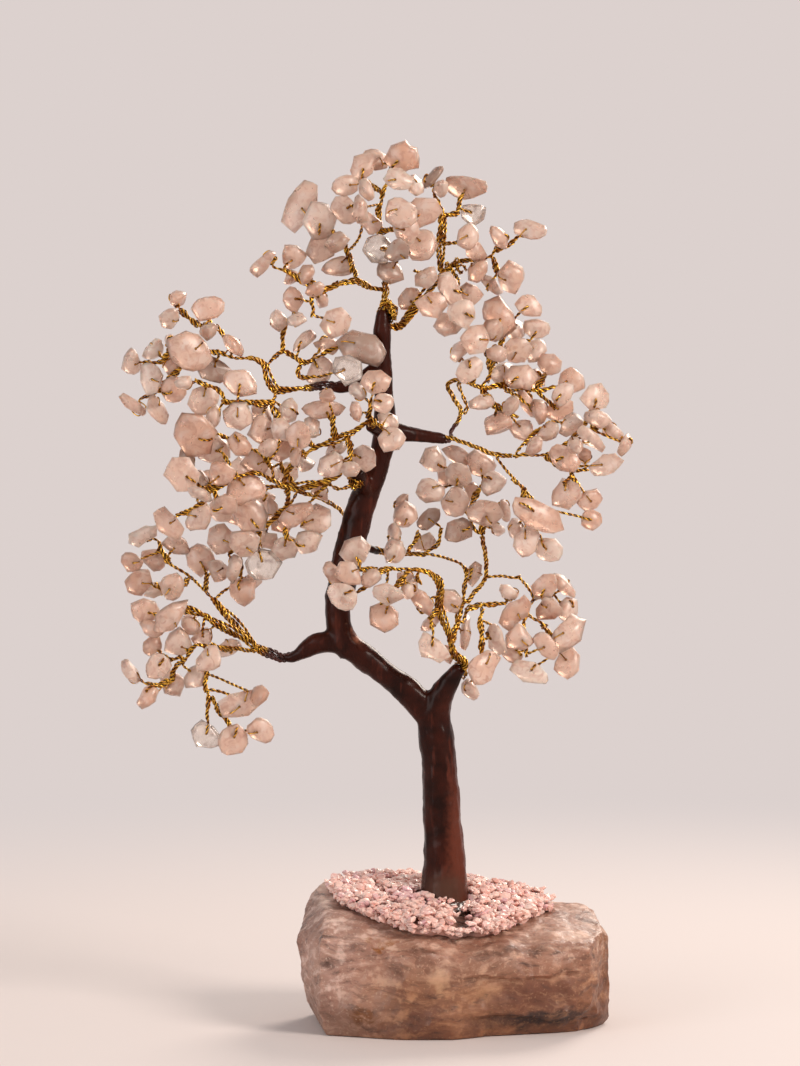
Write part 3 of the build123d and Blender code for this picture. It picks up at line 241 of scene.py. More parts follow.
for centre, size, patch in (
    (seen(320, 892, -0.010), (0.0080, 0.030, 0.0060), "#DCC2B2"),
    (seen(316, 960, -0.030), (0.0050, 0.020, 0.0200), "#AD8472"),
    (seen(437, 984, -0.030), (0.0030, 0.012, 0.0045), "#DDC2B2"),
    (seen(485, 992, -0.030), (0.0036, 0.012, 0.0030), "#D2B3A2"),
    (seen(386, 944, -0.030), (0.0085, 0.010, 0.0012), "#96602C"),
    (seen(364, 1016, -0.028), (0.0062, 0.010, 0.0030), "#8E5A28"),
    # The last two are painted light: a red brown band under the lowest ledge, darkened as painted shade of
    # the recess, and below it a dark strip of painted shadow on the underside
    (seen(545, 996, -0.028), (0.0190, 0.014, 0.0062), "#84594A"),
    (seen(556, 1020, -0.026), (0.0240, 0.014, 0.0032), "#3E2014"),
):
    colour = laid_over(add, colour, (patch, blotch(add, place, centre, size, patch_grain)))
slanted = add("Mapping", {
    "Vector": warped, "Rotation": (0.0, math.radians(24), 0.0), "Scale": (0.35, 0.6, 1.6)})
fibres = add("TexNoise", {"Vector": slanted, "Scale": 260.0, "Detail": 8.0, "Roughness": 0.65})
sugar = add("TexNoise", {"Vector": place, "Scale": 1200.0, "Detail": 3.0})
colour = laid_over(add, colour, ("#E2C3B6", fibres, 0.52, 0.74), ("#4A2C20", fibres, 0.47, 0.28),
                   ("#DFC6B7", sugar, 0.58, 0.86))
# Rust has soaked in from the right, most of all into the broken front, and leaves the left end pink. It is
# laid on thinner towards the top, so that the top is lighter and the lower part darker: that part is
# painted shade.
soaked = add("MapRange", {0: stain, 1: -0.027, 2: -0.007})
upright = add("MapRange", {0: up, 1: 0.014, 2: 0.030, 3: 1.0, 4: 0.36})
rust_and_shade_share = add("Math", {0: soaked, 1: upright}, operation="MULTIPLY")
# Painted shade: the stone darker towards the bottom
lowest = add("Math", {0: clouds, 1: drift, 2: up}, operation="MULTIPLY_ADD")
painted_shade_below = add("MapRange", {0: lowest, 1: 0.023, 2: 0.008, 4: 0.8})
for share, rust_and_shade_tint in ((rust_and_shade_share, (0.64, 0.46, 0.29, 1.0)), (painted_shade_below, (0.50, 0.38, 0.28, 1.0))):
    colour = add("Mix", {0: share, 6: colour, 7: rust_and_shade_tint}, data_type="RGBA", blend_type="MULTIPLY").outputs[2]
grit = add("TexVoronoi", {"Vector": place, "Scale": 700.0})
bump = add("Bump", {"Strength": 0.22, "Distance": 0.0004, "Height": grit})
rough = add("MapRange", {0: flaws, 1: 0.3, 2: 0.7, 3: 0.38, 4: 0.62})
shader = add("BsdfPrincipled", {
    "Base Color": colour, "Roughness": rough, "Normal": bump, "IOR": 1.544,
    "Subsurface Weight": 0.30, "Subsurface Radius": (1.0, 0.55, 0.42), "Subsurface Scale": 0.004,
})
add("OutputMaterial", {"Surface": shader})
select_only(stone)
bpy.ops.object.shade_smooth_by_angle(angle=math.radians(24))
finish(stone, "raw_rose_quartz", ["stone_base"], raw_quartz)


# Chips: tumbled rose quartz, six to eight millimetres across, drilled through their thin side. They
# are milky and soft edged, most of them peach pink, a few smoky and a few nearly clear.
def islands_of(mesh):
    """The vertices of each separate solid in a mesh, and the neighbours of each vertex."""
    neighbours = [[] for _ in mesh.vertices]
    for edge in mesh.edges:
        a, b = edge.vertices
        neighbours[a].append(b)
        neighbours[b].append(a)
    found, groups = set(), []
    for first in range(len(neighbours)):
        if first in found:
            continue
        group, waiting = [], [first]
        found.add(first)
        while waiting:
            vertex = waiting.pop()
            group.append(vertex)
            for other in neighbours[vertex]:
                if other not in found:
                    found.add(other)
                    waiting.append(other)
        groups.append(sorted(group))
    return groups, neighbours


prism_corners = 6               # of a straight twig, which has three sides
level_cosine = 0.9999           # between two triangles that make one flat face
thickest_twig = 0.0005          # radius


def wire_paths(node):
    """The middle line of each wire of a CAD node, and its radius, from the rings of its mesh.

    An end is the smallest triangle of a prism, or the most even square of any other wire. The sizes
    are rounded, so that a tie falls the same way each time."""
    source = copy_of(node, "rings")
    mesh = source.data
    places = np.array([vertex.co for vertex in mesh.vertices])
    groups, neighbours = islands_of(mesh)
    owner = {vertex: number for number, group in enumerate(groups) for vertex in group}
    ends = [(math.inf, ()) for _ in groups]
    beside = {}
    for face in mesh.polygons:
        number, corners = owner[face.vertices[0]], tuple(face.vertices)
        sides = [np.linalg.norm(places[a] - places[b]) for a, b in face.edge_keys]
        if len(groups[number]) == prism_corners:
            ends[number] = min(ends[number], (round(sum(sides), 6), corners))
        for key in face.edge_keys:
            beside.setdefault(key, []).append((corners, face.normal.copy()))
    for key, pair in beside.items():
        (corners, normal), (others, other_normal) = pair
        number = owner[key[0]]
        if len(groups[number]) > prism_corners and normal.dot(other_normal) > level_cosine:
            square = [v for v in corners if v not in key] + [v for v in others if v not in key]
            sides = [np.linalg.norm(places[v] - places[end]) for v in square for end in key]
            uneven = round(max(sides) / min(sides) + max(sides), 4)
            ends[number] = min(ends[number], (uneven, (*key, *square)))
    paths = []
    for _, ring in ends:
        layers, done = [list(ring)], set(ring)
        while following := sorted({other for v in layers[-1] for other in neighbours[v]} - done):
            layers.append(following)
            done |= set(following)
        centres = np.array([places[layer].mean(axis=0) for layer in layers])
        paths.append((centres, np.linalg.norm(places[layers[0]] - centres[0], axis=1).mean()))
    bpy.data.objects.remove(source)
    return paths


stems, twigs = {}, {}
for node in sorted(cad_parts):
    if node.endswith("_wires"):
        spray, lines = node.removesuffix("_wires"), wire_paths(node)
        stems[spray] = [(line, radius) for line, radius in lines if radius > thickest_twig]
        twigs[spray] = [line for line, radius in lines if radius <= thickest_twig]
runs = [(spray, number, start, end)
        for spray, paths in stems.items()
        for number, (line, _) in enumerate(paths)
        for start, end in zip(line[:-1], line[1:])]
run_starts = np.array([start for _, _, start, _ in runs])
run_ends = np.array([end for _, _, _, end in runs])


def nearest_on_stems(point, own):
    """The point on another stem's middle line nearest to a point, and how far off it is."""
    ahead = run_ends - run_starts
    along = ((point - run_starts) * ahead).sum(axis=1) / (ahead * ahead).sum(axis=1)
    places = run_starts + np.clip(along, 0, 1)[:, None] * ahead
    gaps = np.linalg.norm(places - point, axis=1)
    gaps[[(spray, number) == own for spray, number, _, _ in runs]] = math.inf
    return places[gaps.argmin()], gaps.min()


def pixel_of(point):
    """The pixel of the front view at which a point is seen."""
    off = Vector(point) - eye
    ahead = off.y * math.cos(view_tilt) - off.z * math.sin(view_tilt)
    up = off.y * math.sin(view_tilt) + off.z * math.cos(view_tilt)
    return middle_column + focal * off.x / ahead, middle_row - focal * up / ahead


mouth_share = 0.26              # how far from a chip's middle to its rim the hole is
shoulder_share = 0.82           # and the place where the wire bends round the chip
well_outside = 0.02             # of any chip, from its middle


class Chip:
    """One finished chip: its middle, the way through its thin side, and its skin."""

    def __init__(self, mesh, group):
        places = np.array([mesh.vertices[v].co for v in group])
        self.middle = Vector(places.mean(axis=0))
        self.through = Vector(np.linalg.svd(places - places.mean(axis=0))[2][2])
        if self.through.y > 0:
            self.through = -self.through
        number = {v: i for i, v in enumerate(group)}
        self.faces = [face.index for face in mesh.polygons if face.vertices[0] in number]
        polygons = [[number[v] for v in mesh.polygons[i].vertices] for i in self.faces]
        self.skin = BVHTree.FromPolygons([tuple(place) for place in places], polygons)

    def on_skin(self, place, side):
        """The point and normal of the skin under a place, seen from one side."""
        point, normal, _, _ = self.skin.ray_cast(place + side * well_outside, -side)
        if point is None:
            point, normal, _, _ = self.skin.find_nearest(place)
        return point, normal

    def drill(self, end):
        """Where the hole opens on each side, and the shoulder that the wire passes on its way there."""
        towards = Vector(end) - self.middle
        flat = (towards - self.through * towards.dot(self.through)).normalized()
        rim, _ = self.on_skin(self.middle, flat)
        reach = (rim - self.middle).length
        sides = []
        for side in (self.through, -self.through):
            mouth, normal = self.on_skin(self.middle + flat * reach * mouth_share, side)
            shoulder, _ = self.on_skin(self.middle + flat * reach * shoulder_share, side)
            sides.append((mouth, normal, shoulder, side))
        return sides


def tumbled(turn, tilt, axes):
    """A turn with a chance tilt about each of some axes."""
    for axis in axes:
        turn = turn @ Matrix.Rotation(random.gauss(0, tilt), 3, axis)
    return turn


# Tumbled rose quartz: polished to a soft wax gloss, so milky that light spreads inside it, with milk
# in clouds of 4 mm and veins of 2 mm
milky_quartz, add, place = new_material("tumbled rose quartz")
tint = add("Attribute", {}, attribute_name="tint").outputs["Fac"]
smoke = add("Attribute", {}, attribute_name="smoke").outputs["Fac"]
milk = add("TexNoise", {"Vector": place, "Scale": 260.0, "Detail": 5.0})
veins = add("TexNoise", {"Vector": place, "Scale": 480.0, "Detail": 3.0, "Distortion": 1.2})
colour = laid_over(add, "#FAE6D8", ("#E8BCA2", tint), ("#A98E7E", smoke))
paler = laid_over(add, colour, ("#F8EEE8", 0.55))
deeper = laid_over(add, colour, ("#B97F68", 0.48))
colour = laid_over(add, colour, (paler, milk, 0.50, 0.72), (deeper, veins, 0.48, 0.68))
wax = add("MapRange", {0: milk, 1: 0.3, 2: 0.7, 3: 0.24, 4: 0.42})
pits = add("Bump", {"Strength": 0.08, "Distance": 0.0003, "Height": veins})
shader = add("BsdfPrincipled", {
    "Base Color": colour, "Roughness": wax, "Normal": pits, "IOR": 1.544,
    "Subsurface Weight": 0.60, "Subsurface Radius": (1.0, 0.80, 0.72), "Subsurface Scale": 0.0012,
    "Transmission Weight": 0.50,
})
add("OutputMaterial", {"Surface": shader})

# Clear quartz: glassy, with a little milk and grey flaws inside
clear_quartz, add, place = new_material("clear quartz")
flaws = add("TexNoise", {"Vector": place, "Scale": 500.0, "Detail": 5.0})
colour = laid_over(add, "#F4E8DF", ("#B5A29A", flaws, 0.54, 0.70))
shader = add("BsdfPrincipled", {
    "Base Color": colour, "Roughness": 0.20, "IOR": 1.544, "Transmission Weight": 0.80,
})
add("OutputMaterial", {"Surface": shader})

# Drilled hole with the wire's end in it: a dark plug of painted shade stands in for the hole, with brass
# showing through the stone round it
painted_hole_shade, add, place = new_material("drilled hole")
depth = add("TexNoise", {"Vector": place, "Scale": 1500.0})
colour = laid_over(add, "#5A3018", ("#A86E34", depth))
shader = add("BsdfPrincipled", {"Base Color": colour, "Roughness": 0.5})
add("OutputMaterial", {"Surface": shader})

chip_tilt = 0.12                # radians by which a chip is turned out of its place
chip_swell = 1.40               # rounding draws a chip in, so it starts this much wider
swell_spread = 0.16             # by which its corners differ in that
chip_dents = 0.0011             # by which its skin wanders in and out
dents_per_metre = 190
hole_sides = 7
hole_radius = 0.00042
hole_rise = 0.00004             # of the dark plug, painted shade that shows the hole, above the skin
hole_depth = 0.0003
# Chips that differ from the rest in the photograph, by the pixel at their middle
clear_pixels = [(207, 736), (264, 565), (378, 249), (346, 369), (473, 213)]
smoky_pixels = [(360, 347), (457, 531), (430, 519), (400, 250), (391, 272), (433, 177), (187, 456),
                (213, 370)]
same_chip = 7                   # pixels between such a middle and the chip's own
smoky_share = 0.75
random.seed(11)
noise.seed_set(11)              # without a seed noise_vector starts from the clock
drilled = {}
for spray in twigs:
    pebbles = copy_of(f"{spray}_chips", f"{spray}_pebbles")
    bpy.ops.object.mode_set(mode="EDIT")
    bpy.ops.mesh.dissolve_limited(angle_limit=math.radians(1))
    bpy.ops.object.mode_set(mode="OBJECT")
    mesh = pebbles.data
    for group in islands_of(mesh)[0]:
        places = np.array([mesh.vertices[v].co for v in group])
        middle = places.mean(axis=0)
        turn = tumbled(Matrix.Identity(3), chip_tilt, "ZX")
        places = middle + (places - middle) @ np.array(turn).T
        through = np.linalg.svd(places - middle)[2][2]
        for v, place in zip(group, places):
            thick = through * through.dot(place - middle)
            flat = (place - middle - thick) * (chip_swell + random.uniform(-swell_spread, swell_spread))
            mesh.vertices[v].co = middle + flat + thick * random.uniform(1.00, 1.25)
    # Each chip is rounded by tumbling, but keeps a share of its angular shape
    angular = new_object("angular", mesh.copy())
    apply_modifier(angular, "SUBSURF", levels=1, render_levels=1, subdivision_type="SIMPLE")
    apply_modifier(pebbles, "SUBSURF", levels=1, render_levels=1)
    mesh = pebbles.data
    for group in islands_of(mesh)[0]:
        kept_share = random.uniform(0.10, 0.60)
        for v in group:
            place = mesh.vertices[v].co.lerp(angular.data.vertices[v].co, kept_share)
            mesh.vertices[v].co = place + noise.noise_vector(place * dents_per_metre) * chip_dents
    bpy.data.objects.remove(angular)
    chips, shares, indices = [], [(0.0, 0.0)] * len(mesh.vertices), [0] * len(mesh.polygons)
    for group in islands_of(mesh)[0]:
        chip = Chip(mesh, group)
        clear, smoky = [any(math.dist(pixel_of(chip.middle), pixel) < same_chip for pixel in pixels)
                        for pixels in (clear_pixels, smoky_pixels)]
        shade = random.betavariate(2.0, 2.2)
        for v in group:
            shares[v] = (shade, smoky_share if smoky else random.uniform(0.0, 0.05))
        for face in chip.faces:
            indices[face] = int(clear)
        chips.append(chip)
    # Each twig hooks into the chip that its end is nearest to
    drilled[spray] = []
    corners = [vertex.co.copy() for vertex in mesh.vertices]
    polygons = [list(face.vertices) for face in mesh.polygons]
    for line in twigs[spray]:
        if nearest_on_stems(line[0], None)[1] > nearest_on_stems(line[-1], None)[1]:
            line = line[::-1]
        end = Vector(line[-1])
        chip = min(chips, key=lambda chip: (chip.skin.find_nearest(end)[0] - end).length)
        sides = chip.drill(end)
        drilled[spray].append((line, sides))
        # At each mouth a dark plug of painted shade stands in for the drilled hole
        for mouth, normal, _, _ in sides:
            across = normal.orthogonal().normalized()
            other = normal.cross(across)
            first, second = len(corners), len(corners) + hole_sides
            for level in (hole_rise, -hole_depth):
                for i in range(hole_sides):
                    turn = 2 * math.pi * i / hole_sides
                    rim = across * math.cos(turn) + other * math.sin(turn)
                    corners.append(mouth + normal * level + rim * hole_radius)
            polygons.append([first + i for i in range(hole_sides)])
            polygons.append([second + i for i in reversed(range(hole_sides))])
            for i in range(hole_sides):
                j = (i + 1) % hole_sides
                polygons.append([second + i, second + j, first + j, first + i])
            indices += [2] * (hole_sides + 2)
            shares += [(0.0, 0.0)] * (2 * hole_sides)
    mesh.clear_geometry()
    mesh.from_pydata([tuple(corner) for corner in corners], [], polygons)
    for name, values in zip(("tint", "smoke"), zip(*shares)):
        mesh.attributes.new(name, "FLOAT", "POINT").data.foreach_set("value", values)
    mesh.polygons.foreach_set("material_index", indices)
    mesh.update()
    select_only(pebbles)
    bpy.ops.object.shade_smooth()
    apply_modifier(pebbles, "WEIGHTED_NORMAL", mode="FACE_AREA", weight=50)
    finish(pebbles, "rose_quartz_chips", [f"{spray}_chips"], milky_quartz, clear_quartz, painted_hole_shade)


# Wires: brass wires twisted into ropes for the stems, and pairs twisted together for the twigs. The
# bundle of all of them runs down inside the clay. A twig's pair parts at its chip and hooks into it.

# Drawn brass, bright and lacquered: a yellow metal, with painted shade in dark brown in the grooves between
# the strands, and tarnish in spots of 2 mm
brass, add, place = new_material("bright brass wire")
painted_groove_shade = add("Attribute", {}, attribute_name="painted_groove_shade").outputs["Fac"]
painted = add("Attribute", {}, attribute_name="painted").outputs["Fac"]
tarnish = add("TexNoise", {"Vector": place, "Scale": 420.0, "Detail": 4.0})
colour = laid_over(add, "#EFBD4E", ("#A4692A", tarnish, 0.42, 0.62), ("#451808", painted_groove_shade, 0.14, 0.62),
                   ("#44190E", painted))
metal = add("Math", {0: 1.0, 1: painted}, operation="SUBTRACT")
drawn = add("MapRange", {0: tarnish, 1: 0.3, 2: 0.7, 3: 0.22, 4: 0.38})
shader = add("BsdfPrincipled", {"Base Color": colour, "Metallic": metal, "Roughness": drawn})
add("OutputMaterial", {"Surface": shader})
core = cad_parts["wire_core"]
core.data.materials.clear()
core.data.materials.append(brass)

clay_hold = 0.0050              # how far a bundle goes on into the clay
clay_reach = 0.0025             # a stem that starts within this of the clay comes out of it
touching = 0.0003               # a smaller gap between two stems is none
join_reach = 0.0028             # a far end within this of another stem is joined to it
leave_reach = 0.0010            # a wire that starts within this of a rope's skin leaves it there
strand_sides = 6
twist_step = 0.00024            # between the points along a strand
thick_stem = 0.0008             # radius from which a stem takes longer steps
twig_radius = 0.00043
leg_radius = 0.00020            # of one wire, 0.4 mm thick
pair_pitch = 0.0034             # length of a turn of the two wires of a pair
wind_pitch = 0.0105             # of a twig's pair round its stem
turn_sway = 0.5                 # radians by which a strand strays along its turn
lay_sway_share = 0.16           # of its distance from the rope's middle by which it strays
# For each stem of the CAD, its rope's radius, and the strands at each level with the length of a turn
lays = {
    0.0015: (0.0013, [(3, 0.0150), (2, 0.0060), (2, pair_pitch)]),
    0.0010: (0.0008, [(3, 0.0120), (2, pair_pitch)]),
    0.0006: (0.0005, [(2, pair_pitch)]),
}
# How much of a spray's wires is painted over where they leave the clay
painted_lengths = {
    "upper_left_outer": 0.0075, "lower_left_upper": 0.0085, "upper_right": 0.0065, "back_centre": 0.0010,
}
paint_fade = 0.0015
# How many ropes stand clear of each of a spray's first two stems between its ends
loose_ropes = {
    "lower_left_upper": 3, "lower_left_outer": 2, "upper_left_outer": 2, "mid_left_upper": 2,
    "centre_low": 2, "mid_left_lower": 1, "front_left": 1, "crown_right": 2, "crown_left": 1,
    "upper_left_lower": 1, "upper_right_outer": 1, "lower_right_outer": 1,
}
loose_gap = 0.0010              # of the first loose rope from the middle of its stem
loose_step = 0.0004             # to the next one
# Ropes that leave a stem and join it or the clay again, by the points that they pass
side_ropes = {
    "upper_right": [seen(464, 414, 0.0044), seen(467, 407, 0.0040), seen(463, 396, 0.0046),
                    seen(459, 385, 0.0058), seen(461, 380, 0.0068)],
    "mid_left_upper": [seen(325, 481, -0.0132), seen(338, 489, -0.0115), seen(350, 486, -0.0092),
                       seen(358, 481, -0.0072), seen(363, 481, -0.0050)],
}
side_lay = (0.0007, [(2, 0.0070), (2, pair_pitch)])
# Turns of wire that bind a spray's bundle where it leaves the clay: from, to, radius and turns
wraps = {
    "crown_centre": (seen(388.0, 302, 0.0005), seen(391.5, 318, -0.0005), 0.0018, 5.5),
    "mid_left_upper": (seen(351, 484, -0.0085), seen(360, 481, -0.0070), 0.0016, 3.5),
    "centre_right": (seen(459, 664, -0.001), seen(463, 673, -0.001), 0.0017, 3.5),
    "crown_right": (seen(440, 275, 0.0052), seen(464, 264, 0.0062), 0.0021, 3.6),
}
wrap_strand = 0.00042           # radius of the pair that binds
wrap_pitch = 0.0023
wrap_points = 30                # along each turn
wrap_sway = np.array([0.0002, 0.0001, 0.0001])


def smooth_line(points, step):
    """A line that turns softly through the bends of a wire, with a point at about each step."""
    points = np.array(points)
    runs_along = np.diff(points, axis=0)
    lengths = np.linalg.norm(runs_along, axis=1)
    ways = runs_along / lengths[:, None]
    slopes = [ways[0] * lengths[0]]
    for i in range(1, len(points) - 1):
        way = ways[i - 1] + ways[i]
        slopes.append(way / max(np.linalg.norm(way), 1e-9) * min(lengths[i - 1], lengths[i]))
    slopes.append(ways[-1] * lengths[-1])
    line = []
    for i, length in enumerate(lengths):
        count = max(2, round(length / step))
        for t in np.arange(count) / count:
            line.append((1 + 2 * t) * (1 - t) ** 2 * points[i] + t * (1 - t) ** 2 * slopes[i]
                        + t * t * (3 - 2 * t) * points[i + 1] + t * t * (t - 1) * slopes[i + 1])
    line.append(points[-1])
    return np.array(line)


def across_line(line):
    """Two directions across a line at each of its points, carried along without twist."""
    ahead = np.gradient(line, axis=0)
    ahead /= np.linalg.norm(ahead, axis=1)[:, None]
    side = np.cross(ahead[0], [0.0, 0.0, 1.0] if abs(ahead[0][2]) < 0.9 else [1.0, 0.0, 0.0])
    sides = []
    for way in ahead:
        side = side - way * side.dot(way)
        side = side / np.linalg.norm(side)
        sides.append(side)
    sides = np.array(sides)
    return sides, np.cross(ahead, sides)


def along_line(line):
    """How far along a line each of its points lies."""
    return np.concatenate([[0.0], np.cumsum(np.linalg.norm(np.diff(line, axis=0), axis=1))])


def add_strand(store, line, axis, radius, paint=None):
    """A round strand along a line, closed at both ends, that knows how far each point faces its rope's
    axis, for the painted shade in the grooves.
    """
    sides, others = across_line(line)
    inward = axis - line
    inward /= np.maximum(np.linalg.norm(inward, axis=1), 1e-9)[:, None]
    first, count = len(store["corners"]), strand_sides
    for i in range(len(line)):
        for j in range(count):
            turn = 2 * math.pi * j / count
            way = math.cos(turn) * sides[i] + math.sin(turn) * others[i]
            store["corners"].append(line[i] + radius * way)
            store["painted_groove_shade"].append((way.dot(inward[i]) + 1) / 2)
            store["painted"].append(0.0 if paint is None else paint[i])
    for i in range(len(line) - 1):
        low = first + i * count
        for j in range(count):
            k = (j + 1) % count
            store["faces"].append((low + j, low + k, low + count + k, low + count + j))
    store["faces"].append(tuple(range(first + count - 1, first - 1, -1)))
    last = first + (len(line) - 1) * count
    store["faces"].append(tuple(range(last, last + count)))


def add_rope(store, line, axis, radius, levels, start, paint=None):
    """Strands twisted together round a line, each of which may be a rope itself."""
    if not levels:
        add_strand(store, line, axis, radius, paint)
        return
    strands, pitch = levels[0]
    lay = radius / (1 + math.sin(math.pi / strands)) if strands > 1 else radius - wrap_strand
    sides, others = across_line(line)
    along = along_line(line)
    for i in range(strands):
        sway = turn_sway * np.sin(along / pitch * 2.3 + start)
        turn = start + 2 * math.pi * (i / strands + along / pitch) + sway
        loose = lay * (1 + lay_sway_share * np.sin(along / pitch * 3.7 + 2.6 * start + i))[:, None]
        strand = line + loose * (np.cos(turn)[:, None] * sides + np.sin(turn)[:, None] * others)
        add_rope(store, strand, line, radius - lay, levels[1:], start + i, paint)


def skin_of(node):
    """The surface of a CAD node, for finding places on it."""
    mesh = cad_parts[node].data
    return BVHTree.FromPolygons([vertex.co for vertex in mesh.vertices],
                                [tuple(face.vertices) for face in mesh.polygons])


clay_skin, core_skin = skin_of("trunk"), skin_of("wire_core")


def wound_on(start, length):
    """The way that a twig's pair takes round the stem that it leaves, from further down the stem."""
    smooth, thickness, _ = min((stem for paths in smooth_stems.values() for stem in paths),
                               key=lambda stem: np.linalg.norm(stem[0] - start, axis=1).min())
    last = np.linalg.norm(smooth - start, axis=1).argmin()
    along = along_line(smooth)
    reach = along[last]
    first = np.searchsorted(along, max(reach - length, 0.0004))
    picks = [i for i in range(first, last) if along[i] < reach - 0.0008][::4]
    if len(picks) < 2:
        return [smooth[last]]
    sides, others = across_line(smooth)
    out = start - smooth[last]
    turn_there = math.atan2(out.dot(others[last]), out.dot(sides[last]))
    away = lays[thickness][0] + twig_radius * 0.55
    points = []
    for i in picks:
        turn = turn_there + (along[i] - reach) / wind_pitch * 2 * math.pi
        points.append(smooth[i] + away * (math.cos(turn) * sides[i] + math.sin(turn) * others[i]))
    return points


smooth_stems = {}
for spray in stems:
    smooth_stems[spray] = []
    for number, (line, radius) in enumerate(stems[spray]):
        gaps = [nearest_on_stems(line[end], (spray, number)) for end in (0, -1)]
        near_clay = [clay_skin.find_nearest(Vector(line[end]))[3] < clay_reach for end in (0, -1)]
        if near_clay[1] or gaps[1][1] < gaps[0][1] and not near_clay[0]:
            line, gaps, near_clay = line[::-1], gaps[::-1], near_clay[::-1]
        points = list(line)
        if near_clay[0]:
            inside = line[0] - (line[1] - line[0]) / np.linalg.norm(line[1] - line[0]) * clay_hold
            points.insert(0, np.array(core_skin.find_nearest(Vector(inside))[0]))
        elif np.linalg.norm(gaps[0][0] - line[0]) > touching:
            points.insert(0, gaps[0][0])
        if touching < gaps[1][1] < join_reach:
            points.append(gaps[1][0])
        thickness = min(lays, key=lambda size: abs(size - radius))
        smooth = smooth_line(points, twist_step * (2 if thickness > thick_stem else 1.25))
        smooth_stems[spray].append((smooth, thickness, near_clay[0]))

# A rope whose far end is free ends with the last wire that leaves it, unless that is near its start
least_rope_share = 0.3
leaving = [line[0] for spray in twigs for line, _ in drilled[spray]]
leaving += [smooth[0] for paths in smooth_stems.values() for smooth, _, in_clay in paths if not in_clay]
for spray, paths in smooth_stems.items():
    for number, (smooth, thickness, in_clay) in enumerate(paths):
        gaps = [np.linalg.norm(smooth - place, axis=1) for place in leaving]
        last = max([gap.argmin() for gap in gaps if gap.min() < thickness + leave_reach], default=0)
        far_gap = nearest_on_stems(smooth[-1], (spray, number))[1]
        if last > len(smooth) * least_rope_share and far_gap > touching:
            paths[number] = (smooth[:last + 4], thickness, in_clay)

random.seed(23)
for spray in stems:
    store = {"corners": [], "faces": [], "painted_groove_shade": [], "painted": []}
    for number, (smooth, thickness, in_clay) in enumerate(smooth_stems[spray]):
        paint = np.zeros(len(smooth))
        if in_clay and spray in painted_lengths:
            along = np.linalg.norm(smooth - smooth[0], axis=1)
            paint = np.clip((clay_hold + painted_lengths[spray] - along) / paint_fade, 0, 1)
        add_rope(store, smooth, smooth, *lays[thickness], number, paint)
        sides, others = across_line(smooth)
        along = np.linspace(0, 1, len(smooth))
        for rope in range(loose_ropes.get(spray, 0) if number < 2 else 0):
            turn = 2.2 * rope + 0.6 + 3.0 * along
            away = (loose_gap + loose_step * rope) * np.sqrt(np.sin(math.pi * along).clip(0))
            loose = smooth + (away * np.cos(turn))[:, None] * sides
            loose = loose + (away * np.sin(turn))[:, None] * others
            add_rope(store, loose, loose, *lays[0.0006], rope, paint)
    if spray in side_ropes:
        smooth = smooth_line(side_ropes[spray], twist_step)
        add_rope(store, smooth, smooth, *side_lay, 0.4)
    # Both wires of a pair go into the chip's hole, one from each side, or the pair goes in from one
    # side and the back wire from the other
    for number, (line, sides) in enumerate(drilled[spray]):
        points = wound_on(line[0], random.uniform(0.004, 0.014)) + list(line)
        if number % 3 == 0:
            mouth, _, shoulder, side = sides[0]
            points.append(np.array(shoulder + side * twig_radius))
            points.append(np.array(mouth + side * twig_radius * 0.6))
            points.append(np.array(mouth - side * 0.0004))
            sides = sides[1:]
        smooth = smooth_line(points, twist_step)
        add_rope(store, smooth, smooth, twig_radius, [(2, pair_pitch)], number)
        for mouth, _, shoulder, side in sides:
            leg = [line[-1], np.array(shoulder + side * leg_radius * 1.3),
                   np.array(mouth + side * leg_radius * 0.8), np.array(mouth - side * 0.0005)]
            smooth = smooth_line(leg, twist_step * 1.5)
            add_strand(store, smooth, smooth + 1e-6, leg_radius)
    if spray in wraps:
        start, end, radius, turns = wraps[spray]
        count = round(turns * wrap_points)
        axis = np.linspace(np.array(start), np.array(end), count)
        axis += np.sin(np.arange(count) * 0.37)[:, None] * wrap_sway
        pitch = np.linalg.norm(np.array(end) - np.array(start)) / turns
        add_rope(store, axis, axis, radius + wrap_strand, [(1, pitch), (2, wrap_pitch)], 0.7)
    mesh = bpy.data.meshes.new(f"{spray}_strands")
    mesh.from_pydata([tuple(corner) for corner in store["corners"]], [], store["faces"])
    for name in ("painted_groove_shade", "painted"):
        mesh.attributes.new(name, "FLOAT", "POINT").data.foreach_set("value", store[name])
    strands = new_object(f"{spray}_strands", mesh)
    select_only(strands)
    bpy.ops.object.shade_smooth_by_angle(angle=math.radians(70))
    finish(strands, "brass_wire", [f"{spray}_wires"], brass)


# Trunk: air dry clay pressed round the wire bundle by hand, pulled out into a stub at each branch, and
# brushed with dark red brown enamel that runs thin on the ridges and near the foot.
trunk = copy_of("trunk", "enamelled_trunk")
remesh(trunk, fine_voxel)
apply_modifier(trunk, "SMOOTH", factor=0.5, iterations=6)
relief(trunk, "CLOUDS", grain=0.009, height=0.0012, level=0.5)
relief(trunk, "CLOUDS", grain=0.0028, height=0.00035, level=0.5)

